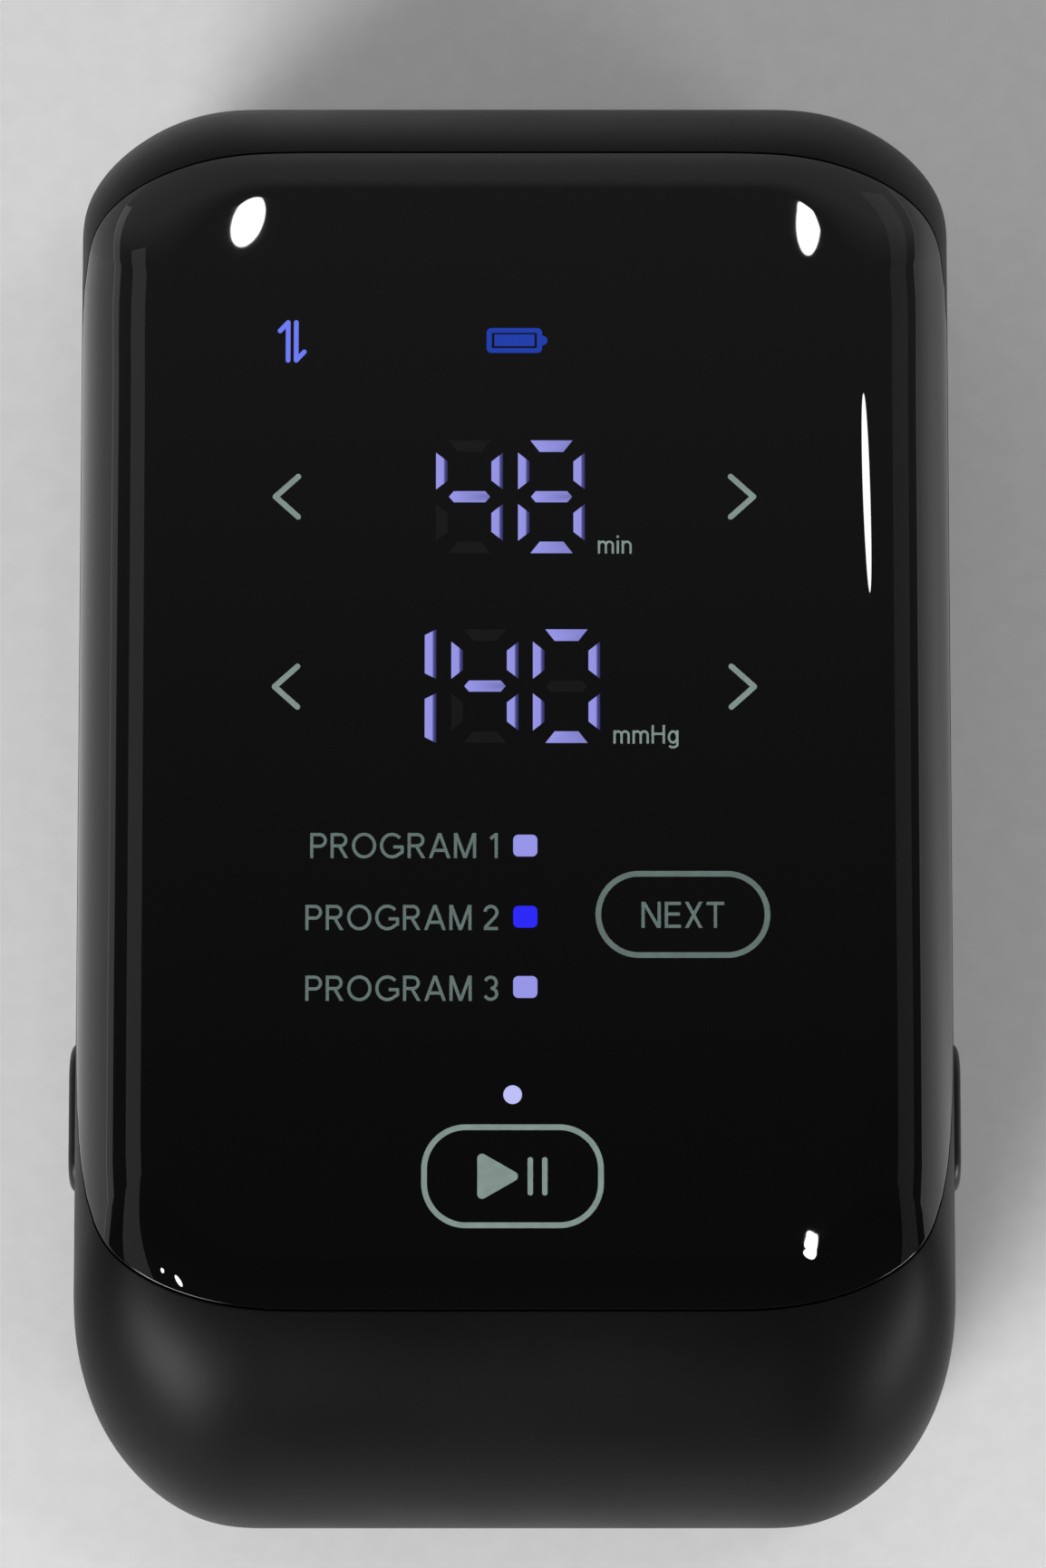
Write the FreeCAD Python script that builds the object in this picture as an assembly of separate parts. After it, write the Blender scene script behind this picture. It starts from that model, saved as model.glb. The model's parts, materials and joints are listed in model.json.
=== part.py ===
import FreeCAD, Part
import math
import os
from FreeCAD import Vector

# Compression therapy pump, lying on its rear face.
# Millimetres. X is the width, Y runs to the top of the panel, Z comes out of the lens.
# The origin is the centre of the rear face.

# Housing
BODY_WIDTH = 80.0
BODY_LENGTH = 134.0
BODY_DEPTH = 46.0
PARTING_HEIGHT = 16.0
PARTING_GAP = 0.25
WALL = 2.4
REAR_EDGE_RADIUS = 3.0
SIDE_ROLL_WIDTH = 10.7
SIDE_ROLL_DEPTH = 16.0
SIDE_ROLL_POWER = 2.5
TOP_ROLL_LENGTH = 12.6
CHIN_LENGTH = 26.7
TOP_CORNER_WIDTH = 17.0
TOP_CORNER_LENGTH = 13.0
CHIN_CORNER_WIDTH = 17.0
CHIN_CORNER_LENGTH = 18.0
FACE_CORNER_WIDTH = 9.0
FACE_CORNER_LENGTH = 8.0
CORNER_FULLNESS = 0.60
SECTION_COUNT = 10

# Lens and the ledge that it is glued to
LENS_THICKNESS = 2.0
LENS_TOP_MARGIN = 9.1
LENS_CHIN_MARGIN = 21.9
LENS_SIDE_DEPTH = 9.6
LENS_TOP_CORNER = (30.0, 16.5)
LENS_LOW_CORNER = (29.6, 27.0)
SEAM_SIDE_FLARE = 1.0
SEAM_END_FLARE = 0.5
SEAM_GAP = 0.2
GLUE_GAP = 0.15
LEDGE_WIDTH = 1.6
LEDGE_THICKNESS = 1.85
WINDOW_MARGIN = 2.3
WINDOW_CORNER = 4.0

# Display stack behind the lens
STACK_CLEARANCE = 0.3
TOUCH_THICKNESS = 0.3
MASK_THICKNESS = 4.4
BOARD_THICKNESS = 1.6
BOARD_SIDE_MARGIN = 6.5
BOARD_END_MARGIN = 4.0
BOARD_CORNER = 12.0
BOARD_SCREW_OFFSET = 3.5
BOARD_SCREW_SPAN = 60.0
BOARD_BOSS_RADIUS = 2.4
BOARD_SCREW_RADIUS = 1.0
DIGIT_HEIGHT = 10.2
DIGIT_WIDTH = 5.8
DIGIT_PITCH = 7.2
DIGIT_STROKE = 1.0
UPPER_ROW_OFFSET = 19.3
LOWER_ROW_OFFSET = 2.6
UPPER_ROW_START = -4.0
LOWER_ROW_START = -9.8
MODE_LIGHT_SIZE = 2.1
MODE_LIGHT_X = 0.95
MODE_LIGHT_OFFSETS = (-11.4, -17.7, -23.9)
START_LIGHT_RADIUS = 0.85
START_LIGHT_OFFSET = -33.4
LED_SIZE = 1.2
LED_HEIGHT = 0.6
BUZZER_RADIUS = 6.0
BUZZER_HEIGHT = 5.5

# Side release buttons and their latches
BUTTON_LOW_MARGIN = 38.5
BUTTON_LENGTH = 14.0
BUTTON_TALL = 7.0
BUTTON_PROUD = 1.2
BUTTON_CLEARANCE = 0.35
BUTTON_FLANGE = 0.8
BUTTON_FLANGE_THICKNESS = 1.2
BUTTON_EDGE = 0.9
RELEASE_TRAVEL = 1.8
LATCH_WIDTH = 9.0
LATCH_THICKNESS = 2.0
LATCH_INSET = 11.6
LATCH_LIP = 1.2
LATCH_LIP_HEIGHT = 2.2
LATCH_TIP_HEIGHT = 1.2
LATCH_SLOT_MARGIN = 0.4
LATCH_SLOT_OUTER = 3.6
LATCH_SLOT_LENGTH = 13.0
SPRING_WALL_THICKNESS = 1.6
RELEASE_SPRING_RADIUS = 1.9
RELEASE_SPRING_WIRE = 0.3
RELEASE_SPRING_TURNS = 6

# Housing screws and their plugs
SCREW_TOP = (31.5, 9.0)
SCREW_LOW = (32.0, 10.0)
SCREW_RADIUS = 1.45
SCREW_HEAD_RADIUS = 2.7
SCREW_HEAD_HEIGHT = 2.0
SCREW_SEAT_HEIGHT = 6.0
SCREW_LENGTH = 20.0
REAR_BOSS_RADIUS = 4.6
FRONT_BOSS_RADIUS = 3.5
PLUG_RADIUS = 3.0
PLUG_HEIGHT = 2.8
SCREW_CLEARANCE = 0.05

# Air dock, manifold and valves
DOCK_GAP = 1.1
DOCK_WIDTH = 62.0
DOCK_LENGTH = 13.0
DOCK_DEPTH = 5.0
DOCK_COLLAR = 1.6
DOCK_PLATE_THICKNESS = 2.0
DOCK_PLATE_MARGIN = 2.5
NOZZLE_PITCH = 15.4
NOZZLE_RADIUS = 2.5
NOZZLE_BORE = 1.3
NOZZLE_LENGTH = 4.2
GASKET_THICKNESS = 0.6
MANIFOLD_WIDTH = 64.0
MANIFOLD_LENGTH = 16.0
MANIFOLD_HEIGHT = 5.0
GALLERY_RADIUS = 1.5
NIPPLE_RADIUS = 1.75
NIPPLE_BORE = 1.1
TUBE_RADIUS = 2.9
TUBE_FIT = 0.04
SENSOR_TUBE_RADIUS = 2.5
SENSOR_TUBE_LEAD = 3.1
SENSOR_TUBE_BEND = 3.6
YOKE_WIDTH = 13.0
YOKE_LENGTH = 11.0
YOKE_HEIGHT = 15.0
YOKE_THICKNESS = 1.2
COIL_RADIUS = 5.1
COIL_BORE = 2.75
PLUNGER_RADIUS = 2.4
PLUNGER_LENGTH = 8.0
PLUNGER_TRAVEL = 0.7
PLUNGER_END_GAP = 0.4
PLUNGER_SEAT_GAP = 0.3
VALVE_SPRING_BORE = 1.4
VALVE_SPRING_DEPTH = 3.6
VALVE_SPRING_RADIUS = 0.9
VALVE_SPRING_WIRE = 0.18
VALVE_SPRING_TURNS = 5

# Diaphragm pump and its motor
PUMP_GAP = 10.0
PUMP_FLOOR_GAP = 1.0
PUMP_RADIUS = 13.0
PUMP_END_GAP = 0.4
MOTOR_RADIUS = 12.2
MOTOR_WALL = 1.0
MAGNET_THICKNESS = 1.7
MAGNET_LENGTH = 18.0
ARMATURE_RADIUS = 8.6
ARMATURE_LENGTH = 15.0
COMMUTATOR_RADIUS = 2.6
SHAFT_RADIUS = 1.0
SHAFT_CLEARANCE = 0.03
BUSH_RADIUS = 3.0
BASE_LENGTH = 9.2
BASE_FLOOR = 1.4
BASE_BORE = 9.6
CUP_RADIUS = 6.0
CUP_LENGTH = 4.0
DIAPHRAGM_THICKNESS = 1.0
DIAPHRAGM_CUP_RADIUS = 3.2
DIAPHRAGM_CUP_OFFSET = 5.2
CHAMBER_THICKNESS = 2.5
COVER_LENGTH = 4.5
PUMP_SCREW_RADIUS = 0.7
PUMP_SCREW_OFFSET = 11.4
CRADLE_LENGTH = 6.0
CRADLE_SPAN = 22.0
CRADLE_HEIGHT = 9.5

# Battery and charging port
CELL_RADIUS = 9.2
CELL_LENGTH = 65.0
CELL_PITCH = 19.2
CELL_TOP_MARGIN = 25.0
CELL_CLEARANCE = 0.2
TRAY_WALL = 1.3
TRAY_HEIGHT = 9.5
TAB_THICKNESS = 0.2
CHARGER_WIDTH = 30.0
CHARGER_LENGTH = 13.0
CHARGER_THICKNESS = 1.2
CHARGER_HEIGHT = 5.6
PORT_WIDTH = 9.0
PORT_LENGTH = 7.4
PORT_HEIGHT = 3.2
PORT_WALL = 0.35
PORT_RECESS = 0.8
PORT_CLEARANCE = 0.25

# Air intake at the top end
INTAKE_SLOTS = 5
INTAKE_PITCH = 4.0
INTAKE_SLOT_WIDTH = 1.4
INTAKE_SLOT_HEIGHT = 6.0
FILTER_WIDTH = 24.0
FILTER_LENGTH = 4.0
FILTER_HEIGHT = 10.0

# Sizes that follow from the ones above
half_width = BODY_WIDTH / 2
top_end = BODY_LENGTH / 2
low_end = -BODY_LENGTH / 2
roll_depth = BODY_DEPTH - PARTING_HEIGHT
face_top = top_end - TOP_ROLL_LENGTH
face_low = low_end + CHIN_LENGTH
face_middle = (face_top + face_low) / 2
face_half = half_width - SIDE_ROLL_WIDTH
window_half = face_half - WINDOW_MARGIN
window_reach = (face_top - face_low) / 2 - WINDOW_MARGIN
touch_top = BODY_DEPTH - LENS_THICKNESS - GLUE_GAP
mask_top = touch_top - TOUCH_THICKNESS
board_top = mask_top - MASK_THICKNESS
board_rear = board_top - BOARD_THICKNESS
board_half = window_half + BOARD_SIDE_MARGIN
rear_rim = PARTING_HEIGHT - PARTING_GAP
lens_edge = BODY_DEPTH - LENS_SIDE_DEPTH
button_y = low_end + BUTTON_LOW_MARGIN
ledge_low = lens_edge - LEDGE_WIDTH - LENS_THICKNESS / 2
button_height = (PARTING_HEIGHT + ledge_low) / 2
cell_height = WALL + TRAY_WALL + CELL_RADIUS + CELL_CLEARANCE
cell_ys = (top_end - CELL_TOP_MARGIN, top_end - CELL_TOP_MARGIN - CELL_PITCH)
tray_low = cell_ys[1] - CELL_RADIUS - CELL_CLEARANCE - TRAY_WALL
dock_y = tray_low - DOCK_GAP - DOCK_PLATE_MARGIN - DOCK_LENGTH / 2
manifold_front = dock_y - MANIFOLD_LENGTH / 2
pump_y = manifold_front - PUMP_GAP - PUMP_RADIUS
pump_z = WALL + PUMP_FLOOR_GAP + PUMP_RADIUS
plunger_room = PLUNGER_TRAVEL + PLUNGER_END_GAP
tiny = 0.02

X = Vector(1, 0, 0)
Y = Vector(0, 1, 0)
Z = Vector(0, 0, 1)


def block(x0, x1, y0, y1, z0, z1):
    return Part.makeBox(x1 - x0, y1 - y0, z1 - z0, Vector(x0, y0, z0))


def rounded_block(x0, x1, y0, y1, z0, z1, radius, along):
    """A block whose four edges along one axis are rounded."""
    shape = block(x0, x1, y0, y1, z0, z1)
    edges = []
    for edge in shape.Edges:
        run = edge.Vertexes[1].Point - edge.Vertexes[0].Point
        if abs(abs(run.normalize().dot(along)) - 1) < 0.001:
            edges.append(edge)
    return shape.makeFillet(radius, edges)


def rod(start, direction, radius, length):
    return Part.makeCylinder(radius, length, start, direction)


def ring(start, direction, outer, inner, length):
    return rod(start, direction, outer, length).cut(rod(start, direction, inner, length))


def join(shapes):
    return shapes[0].fuse(shapes[1:]).removeSplitter()


def group(shapes):
    return Part.makeCompound(shapes)


def arc_round(start, corner, end):
    """The arc that leaves its start towards a corner and comes to its end from that corner."""
    lean = (end - start).Length / 2 / (corner - start).Length
    middle = (start + corner * (2 * lean) + end) * (1 / (2 + 2 * lean))
    return Part.Arc(start, middle, end).toShape()


def coil_point(radius, pitch, quarter):
    """A point of a helix about Z and its heading there, a number of quarter turns from the start."""
    angle = math.pi / 2 * quarter
    point = Vector(radius * math.cos(angle), radius * math.sin(angle), pitch * quarter / 4)
    heading = Vector(-radius * math.sin(angle), radius * math.cos(angle), pitch / (2 * math.pi))
    return point, heading.normalize()


def coil_path(radius, pitch, turns):
    """A helix about Z, as two arcs in line with each other to each quarter turn."""
    edges = []
    for quarter in range(4 * turns):
        start, leave = coil_point(radius, pitch, quarter)
        end, arrive = coil_point(radius, pitch, quarter + 1)
        run = end - start
        advance = run.dot(leave + arrive)
        spread = 2 * (1 - leave.dot(arrive))
        reach = (math.sqrt(advance ** 2 + spread * run.dot(run)) - advance) / spread
        lead = start + leave * reach
        trail = end - arrive * reach
        meeting = (lead + trail) * 0.5
        edges.append(arc_round(start, lead, meeting))
        edges.append(arc_round(meeting, trail, end))
    return Part.Wire(edges)


def coil_spring(start, direction, radius, wire, length, turns):
    """A helical spring whose wire lies between the two end planes."""
    pitch = (length - 2 * wire) / turns
    first, heading = coil_point(radius, pitch, 0)
    circle = Part.Wire(Part.makeCircle(wire, first, heading))
    spring = coil_path(radius, pitch, turns).makePipeShell([circle], True, False)
    spring.translate(Vector(0, 0, wire))
    spring.Placement = FreeCAD.Placement(start, FreeCAD.Rotation(Z, direction)).multiply(spring.Placement)
    return spring


# The outer form: one pillow, rolled at its sides, its top and its chin

def outline(half, top, low, top_corner, low_corner, height):
    """A closed outline with four straight sides and four soft corners."""
    top_w, top_l = top_corner
    low_w, low_l = low_corner
    ends = [
        Vector(-half + low_w, low, height),
        Vector(half - low_w, low, height),
        Vector(half, low + low_l, height),
        Vector(half, top - top_l, height),
        Vector(half - top_w, top, height),
        Vector(-half + top_w, top, height),
        Vector(-half, top - top_l, height),
        Vector(-half, low + low_l, height),
    ]
    corners = [
        Vector(half, low, height),
        Vector(half, top, height),
        Vector(-half, top, height),
        Vector(-half, low, height),
    ]
    edges = []
    for i, corner in enumerate(corners):
        start = ends[2 * i]
        turn = ends[2 * i + 1]
        after = ends[(2 * i + 2) % 8]
        edges.append(Part.LineSegment(start, turn).toShape())
        bend = Part.BezierCurve()
        lead = turn + (corner - turn) * CORNER_FULLNESS
        trail = after + (corner - after) * CORNER_FULLNESS
        bend.setPoles([turn, lead, trail, after])
        edges.append(bend.toShape())
    return Part.Wire(edges)


def roll(depth, reach, fall, power):
    """How far a rolled edge lies inside its widest line, at a depth below the face."""
    if depth >= fall:
        return 0.0
    rest = 1 - depth / fall
    return reach * (1 - (1 - rest ** power) ** (1 / power))


def roll_depth_at(inset, reach, fall):
    """The depth at which an elliptical roll has come out to a given inset."""
    return fall * (1 - math.sqrt(1 - (1 - inset / reach) ** 2))


def mix(start, end, share):
    return start + (end - start) * share


def body_section(depth, inset):
    """The outline of the pillow at a depth, or of the smaller pillow one inset inside it."""
    side_reach = SIDE_ROLL_WIDTH - inset
    side = roll(depth, side_reach, SIDE_ROLL_DEPTH - inset, SIDE_ROLL_POWER)
    top = roll(depth, TOP_ROLL_LENGTH - inset, roll_depth - inset, 2.0)
    chin = roll(depth, CHIN_LENGTH - inset, roll_depth - inset, 2.0)
    share = side / side_reach
    top_corner = (
        mix(TOP_CORNER_WIDTH - inset, FACE_CORNER_WIDTH, share),
        mix(TOP_CORNER_LENGTH - inset, FACE_CORNER_LENGTH, share),
    )
    low_corner = (
        mix(CHIN_CORNER_WIDTH - inset, FACE_CORNER_WIDTH, share),
        mix(CHIN_CORNER_LENGTH - inset, FACE_CORNER_LENGTH, share),
    )
    half = half_width - inset - side
    top_line = top_end - inset - top
    low_line = low_end + inset + chin
    return outline(half, top_line, low_line, top_corner, low_corner, BODY_DEPTH - inset - depth)


def pillow(inset):
    """The rolled front half of the body, down to the parting plane."""
    fall = roll_depth - inset
    wires = []
    for i in range(SECTION_COUNT):
        angle = math.pi / 2 * i / (SECTION_COUNT - 1)
        wires.append(body_section(fall * (1 - math.cos(angle)), inset))
    return Part.makeLoft(wires, True, False)


def full_outline(inset, height):
    """The widest outline of the body, one inset inside."""
    top_corner = (TOP_CORNER_WIDTH - inset, TOP_CORNER_LENGTH - inset)
    low_corner = (CHIN_CORNER_WIDTH - inset, CHIN_CORNER_LENGTH - inset)
    return outline(half_width - inset, top_end - inset, low_end + inset, top_corner, low_corner, height)


def full_prism(inset, low, high):
    return Part.Face(full_outline(inset, low)).extrude(Z * (high - low))


def lens_cutter(grow):
    """A flared plug that marks the lens off from the rest of the pillow."""
    side_half = half_width - roll(LENS_SIDE_DEPTH, SIDE_ROLL_WIDTH, SIDE_ROLL_DEPTH, SIDE_ROLL_POWER)
    top_seam = BODY_DEPTH - roll_depth_at(LENS_TOP_MARGIN, TOP_ROLL_LENGTH, roll_depth)
    low_seam = BODY_DEPTH - roll_depth_at(LENS_CHIN_MARGIN, CHIN_LENGTH, roll_depth)
    wires = []
    for height in (lens_edge - LENS_THICKNESS / SEAM_SIDE_FLARE - 0.5, BODY_DEPTH + 4.0):
        top_rise = height - top_seam
        low_rise = height - low_seam
        wires.append(outline(
            side_half + SEAM_SIDE_FLARE * (height - lens_edge) + grow,
            top_end - LENS_TOP_MARGIN + SEAM_END_FLARE * top_rise + grow,
            low_end + LENS_CHIN_MARGIN - SEAM_END_FLARE * low_rise - grow,
            (LENS_TOP_CORNER[0] + SEAM_SIDE_FLARE * top_rise + grow,
             LENS_TOP_CORNER[1] + SEAM_END_FLARE * top_rise + grow),
            (LENS_LOW_CORNER[0] + SEAM_SIDE_FLARE * low_rise + grow,
             LENS_LOW_CORNER[1] + SEAM_END_FLARE * low_rise + grow),
            height,
        ))
    return Part.makeLoft(wires, True, True)


outer_form = pillow(0.0)


def make_lens():
    return outer_form.cut(pillow(LENS_THICKNESS)).common(lens_cutter(0.0))


def screw_spots():
    spots = []
    for side in (-1, 1):
        spots.append((side * SCREW_TOP[0], top_end - SCREW_TOP[1]))
        spots.append((side * SCREW_LOW[0], low_end + SCREW_LOW[1]))
    return spots


def board_screw_spots():
    x = window_half + BOARD_SCREW_OFFSET
    spots = []
    for side in (-1, 1):
        for end in (-1, 1):
            spots.append((side * x, face_middle + end * BOARD_SCREW_SPAN / 2))
    return spots


def button_hole(side, grow):
    """The rounded passage of a side button through the wall."""
    length = BUTTON_LENGTH / 2 + grow
    tall = BUTTON_TALL / 2 + grow
    inner = half_width - WALL - 4.0
    outer = half_width + 4.0
    return rounded_block(
        min(side * inner, side * outer), max(side * inner, side * outer),
        button_y - length, button_y + length,
        button_height - tall, button_height + tall,
        0.98 * tall, X,
    )


def make_front_housing():
    ledge_inset = LENS_THICKNESS + GLUE_GAP
    lens_pocket = lens_cutter(SEAM_GAP).cut(pillow(ledge_inset))
    shell = outer_form.cut(lens_pocket)
    shell = shell.cut(pillow(WALL).cut(lens_cutter(LEDGE_WIDTH)))
    shell = shell.cut(pillow(ledge_inset + LEDGE_THICKNESS))
    shell = shell.cut(rounded_block(
        -window_half, window_half, face_middle - window_reach, face_middle + window_reach,
        PARTING_HEIGHT, BODY_DEPTH, WINDOW_CORNER, Z,
    ))
    posts = []
    limit = pillow(WALL / 2)
    for x, y in screw_spots():
        post = rod(Vector(x, y, PARTING_HEIGHT), Z, FRONT_BOSS_RADIUS, BODY_DEPTH)
        posts.append(post.common(limit).cut(lens_pocket))
    boss_top = BODY_DEPTH - ledge_inset - LEDGE_THICKNESS / 2
    for x, y in board_screw_spots():
        posts.append(rod(Vector(x, y, board_top), Z, BOARD_BOSS_RADIUS, boss_top - board_top))
    shell = shell.fuse(posts)
    holes = []
    for x, y in screw_spots():
        holes.append(rod(Vector(x, y, PARTING_HEIGHT - 1), Z, SCREW_RADIUS + SCREW_CLEARANCE, SCREW_LENGTH))
    for x, y in board_screw_spots():
        holes.append(rod(Vector(x, y, board_top - 1), Z, BOARD_SCREW_RADIUS + SCREW_CLEARANCE, 3.4))
    holes.append(button_hole(-1, BUTTON_CLEARANCE))
    holes.append(button_hole(1, BUTTON_CLEARANCE))
    return shell.cut(holes)


# Rear shell, with the dock, the latch slots and the charging port

spring_wall_outer = half_width - LATCH_INSET - LATCH_THICKNESS / 2 - RELEASE_TRAVEL - LATCH_SLOT_MARGIN
latch_outer = half_width - LATCH_INSET + LATCH_THICKNESS / 2
latch_inner = latch_outer - LATCH_THICKNESS
flange_outer = half_width - WALL - BUTTON_CLEARANCE
flange_inner = flange_outer - BUTTON_FLANGE_THICKNESS
spring_height = button_height + 1.6
port_low = CHARGER_HEIGHT + CHARGER_THICKNESS
charger_front = low_end + WALL + 0.6


def side_block(side, inner, outer, y0, y1, z0, z1):
    """A block given by its distances from the centre line, on either side."""
    return block(min(side * inner, side * outer), max(side * inner, side * outer), y0, y1, z0, z1)


def make_rear_housing():
    shell = full_prism(0.0, 0.0, rear_rim)
    rim = [e for e in shell.Edges if e.BoundBox.ZMax < 0.001]
    shell = shell.makeFillet(REAR_EDGE_RADIUS, rim)
    shell = shell.cut(full_prism(WALL, WALL, PARTING_HEIGHT))
    shell = shell.cut(full_prism(WALL / 2, rear_rim - PARTING_GAP, PARTING_HEIGHT))
    adds = []
    for x, y in screw_spots():
        post = rod(Vector(x, y, WALL / 2), Z, REAR_BOSS_RADIUS, rear_rim - PARTING_GAP - WALL / 2)
        adds.append(post.common(full_prism(WALL / 2, 0.0, PARTING_HEIGHT)))
    dock_half = DOCK_WIDTH / 2 + DOCK_COLLAR
    dock_reach = DOCK_LENGTH / 2 + DOCK_COLLAR
    adds.append(block(-dock_half, dock_half, dock_y - dock_reach, dock_y + dock_reach, WALL / 2, DOCK_DEPTH))
    for side in (-1, 1):
        wall_inner = spring_wall_outer - SPRING_WALL_THICKNESS
        reach = LATCH_WIDTH / 2 + 1.5
        wall_top = spring_height + 3.0
        adds.append(side_block(side, wall_inner, spring_wall_outer, button_y - reach, button_y + reach,
                               WALL / 2, wall_top))
        pin_start = Vector(side * (spring_wall_outer - 0.4), button_y, spring_height)
        adds.append(rod(pin_start, X * side, RELEASE_SPRING_RADIUS - RELEASE_SPRING_WIRE - 0.3, 2.4))
    for x in (-CHARGER_WIDTH / 2 + 3.0, CHARGER_WIDTH / 2 - 3.0):
        spot = Vector(x, charger_front + CHARGER_LENGTH - 3.0, WALL / 2)
        adds.append(rod(spot, Z, 2.2, CHARGER_HEIGHT - WALL / 2))
    shell = shell.fuse(adds)
    cuts = []
    cuts.append(rounded_block(
        -DOCK_WIDTH / 2, DOCK_WIDTH / 2, dock_y - DOCK_LENGTH / 2, dock_y + DOCK_LENGTH / 2,
        -1.0, DOCK_DEPTH + 1.0, 2.5, Z,
    ))
    for side in (-1, 1):
        slot = LATCH_SLOT_LENGTH / 2
        cuts.append(side_block(side, spring_wall_outer, half_width - LATCH_SLOT_OUTER,
                               button_y - slot, button_y + slot, -1.0, WALL + tiny))
    for x, y in screw_spots():
        cuts.append(rod(Vector(x, y, -1.0), Z, SCREW_RADIUS + 0.2, PARTING_HEIGHT + 2.0))
        cuts.append(rod(Vector(x, y, -1.0), Z, PLUG_RADIUS + SCREW_CLEARANCE, SCREW_SEAT_HEIGHT + 1.0))
    for x in (-CHARGER_WIDTH / 2 + 3.0, CHARGER_WIDTH / 2 - 3.0):
        spot = Vector(x, charger_front + CHARGER_LENGTH - 3.0, CHARGER_HEIGHT - 3.4)
        cuts.append(rod(spot, Z, BOARD_SCREW_RADIUS + SCREW_CLEARANCE, 5.0))
    port_half = PORT_WIDTH / 2 + PORT_CLEARANCE
    cuts.append(rounded_block(
        -port_half, port_half, low_end - 1.0, low_end + WALL + 1.0,
        port_low - PORT_CLEARANCE, port_low + PORT_HEIGHT + PORT_CLEARANCE,
        0.45 * PORT_HEIGHT, Y,
    ))
    for i in range(INTAKE_SLOTS):
        x = (i - (INTAKE_SLOTS - 1) / 2) * INTAKE_PITCH
        cuts.append(rounded_block(
            x - INTAKE_SLOT_WIDTH / 2, x + INTAKE_SLOT_WIDTH / 2, top_end - WALL - 1.0, top_end + 1.0,
            WALL + 3.0, WALL + 3.0 + INTAKE_SLOT_HEIGHT, 0.45 * INTAKE_SLOT_WIDTH, Y,
        ))
    return shell.cut(cuts)


def make_parting_seal():
    low = rear_rim - PARTING_GAP
    outer = full_prism(WALL / 2 + 0.1, low, PARTING_HEIGHT)
    inner = full_prism(WALL - 0.1, low - 1.0, PARTING_HEIGHT + 1.0)
    seal = outer.cut(inner)
    spots = [rod(Vector(x, y, low - 1.0), Z, REAR_BOSS_RADIUS + 0.1, 3.0) for x, y in screw_spots()]
    return seal.cut(spots)


def make_housing_screws():
    screws = []
    for x, y in screw_spots():
        head_low = SCREW_SEAT_HEIGHT - SCREW_HEAD_HEIGHT
        head = rod(Vector(x, y, head_low), Z, SCREW_HEAD_RADIUS, SCREW_HEAD_HEIGHT)
        slot_cross = [
            block(x - 1.4, x + 1.4, y - 0.3, y + 0.3, head_low - 0.1, head_low + 1.0),
            block(x - 0.3, x + 0.3, y - 1.4, y + 1.4, head_low - 0.1, head_low + 1.0),
        ]
        shank = rod(Vector(x, y, SCREW_SEAT_HEIGHT), Z, SCREW_RADIUS, SCREW_LENGTH)
        screws.append(join([head, shank]).cut(slot_cross))
    return group(screws)


def make_screw_plugs():
    plugs = []
    for x, y in screw_spots():
        plug = rod(Vector(x, y, 0.3), Z, PLUG_RADIUS, PLUG_HEIGHT)
        plugs.append(plug)
    return group(plugs)


# Side buttons, latches and their springs

def make_button(side):
    cap_outer = half_width + BUTTON_PROUD
    cap = rounded_block(
        min(side * flange_inner, side * cap_outer), max(side * flange_inner, side * cap_outer),
        button_y - BUTTON_LENGTH / 2, button_y + BUTTON_LENGTH / 2,
        button_height - BUTTON_TALL / 2, button_height + BUTTON_TALL / 2,
        0.98 * BUTTON_TALL / 2, X,
    )
    flat = [e for e in cap.Edges if e.BoundBox.XLength < 0.001]
    rim = [e for e in flat if abs(abs(e.BoundBox.Center.x) - cap_outer) < 0.001]
    cap = cap.makeFillet(BUTTON_EDGE, rim)
    reach = BUTTON_LENGTH / 2 + BUTTON_FLANGE
    tall = BUTTON_TALL / 2 + BUTTON_FLANGE
    flange = rounded_block(
        min(side * flange_inner, side * flange_outer), max(side * flange_inner, side * flange_outer),
        button_y - reach, button_y + reach, button_height - tall, button_height + tall,
        0.9 * tall, X,
    )
    pin = rod(Vector(side * (flange_inner + 0.4), button_y, spring_height), X * -side,
              RELEASE_SPRING_RADIUS - RELEASE_SPRING_WIRE - 0.3, 2.4)
    grips = []
    for i in range(-2, 3):
        y = button_y + 2.0 * i
        grips.append(side_block(side, cap_outer - 0.35, cap_outer + 1.0, y - 0.35, y + 0.35,
                                button_height - 2.0, button_height + 2.0))
    return join([cap, flange, pin]).cut(grips)


def make_latch(side):
    half = LATCH_WIDTH / 2
    limb_low = button_height - BUTTON_TALL / 2 - 0.5
    limb_top = limb_low + 2.4
    points = [
        (flange_inner, limb_low),
        (flange_inner, limb_top),
        (latch_inner, limb_top),
        (latch_inner, LATCH_TIP_HEIGHT),
        (latch_outer, LATCH_TIP_HEIGHT),
        (latch_outer + LATCH_LIP, LATCH_TIP_HEIGHT + LATCH_LIP),
        (latch_outer + LATCH_LIP, LATCH_TIP_HEIGHT + LATCH_LIP_HEIGHT),
        (latch_outer, LATCH_TIP_HEIGHT + LATCH_LIP_HEIGHT),
        (latch_outer, limb_low),
    ]
    corners = [Vector(side * x, button_y - half, z) for x, z in points]
    return Part.Face(Part.makePolygon(corners + corners[:1])).extrude(Y * LATCH_WIDTH)


def make_release_spring(side):
    start = Vector(side * (spring_wall_outer + tiny), button_y, spring_height)
    length = flange_inner - spring_wall_outer - 2 * tiny
    return coil_spring(
        start, X * side, RELEASE_SPRING_RADIUS, RELEASE_SPRING_WIRE, length, RELEASE_SPRING_TURNS,
    )


# Display stack

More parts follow.
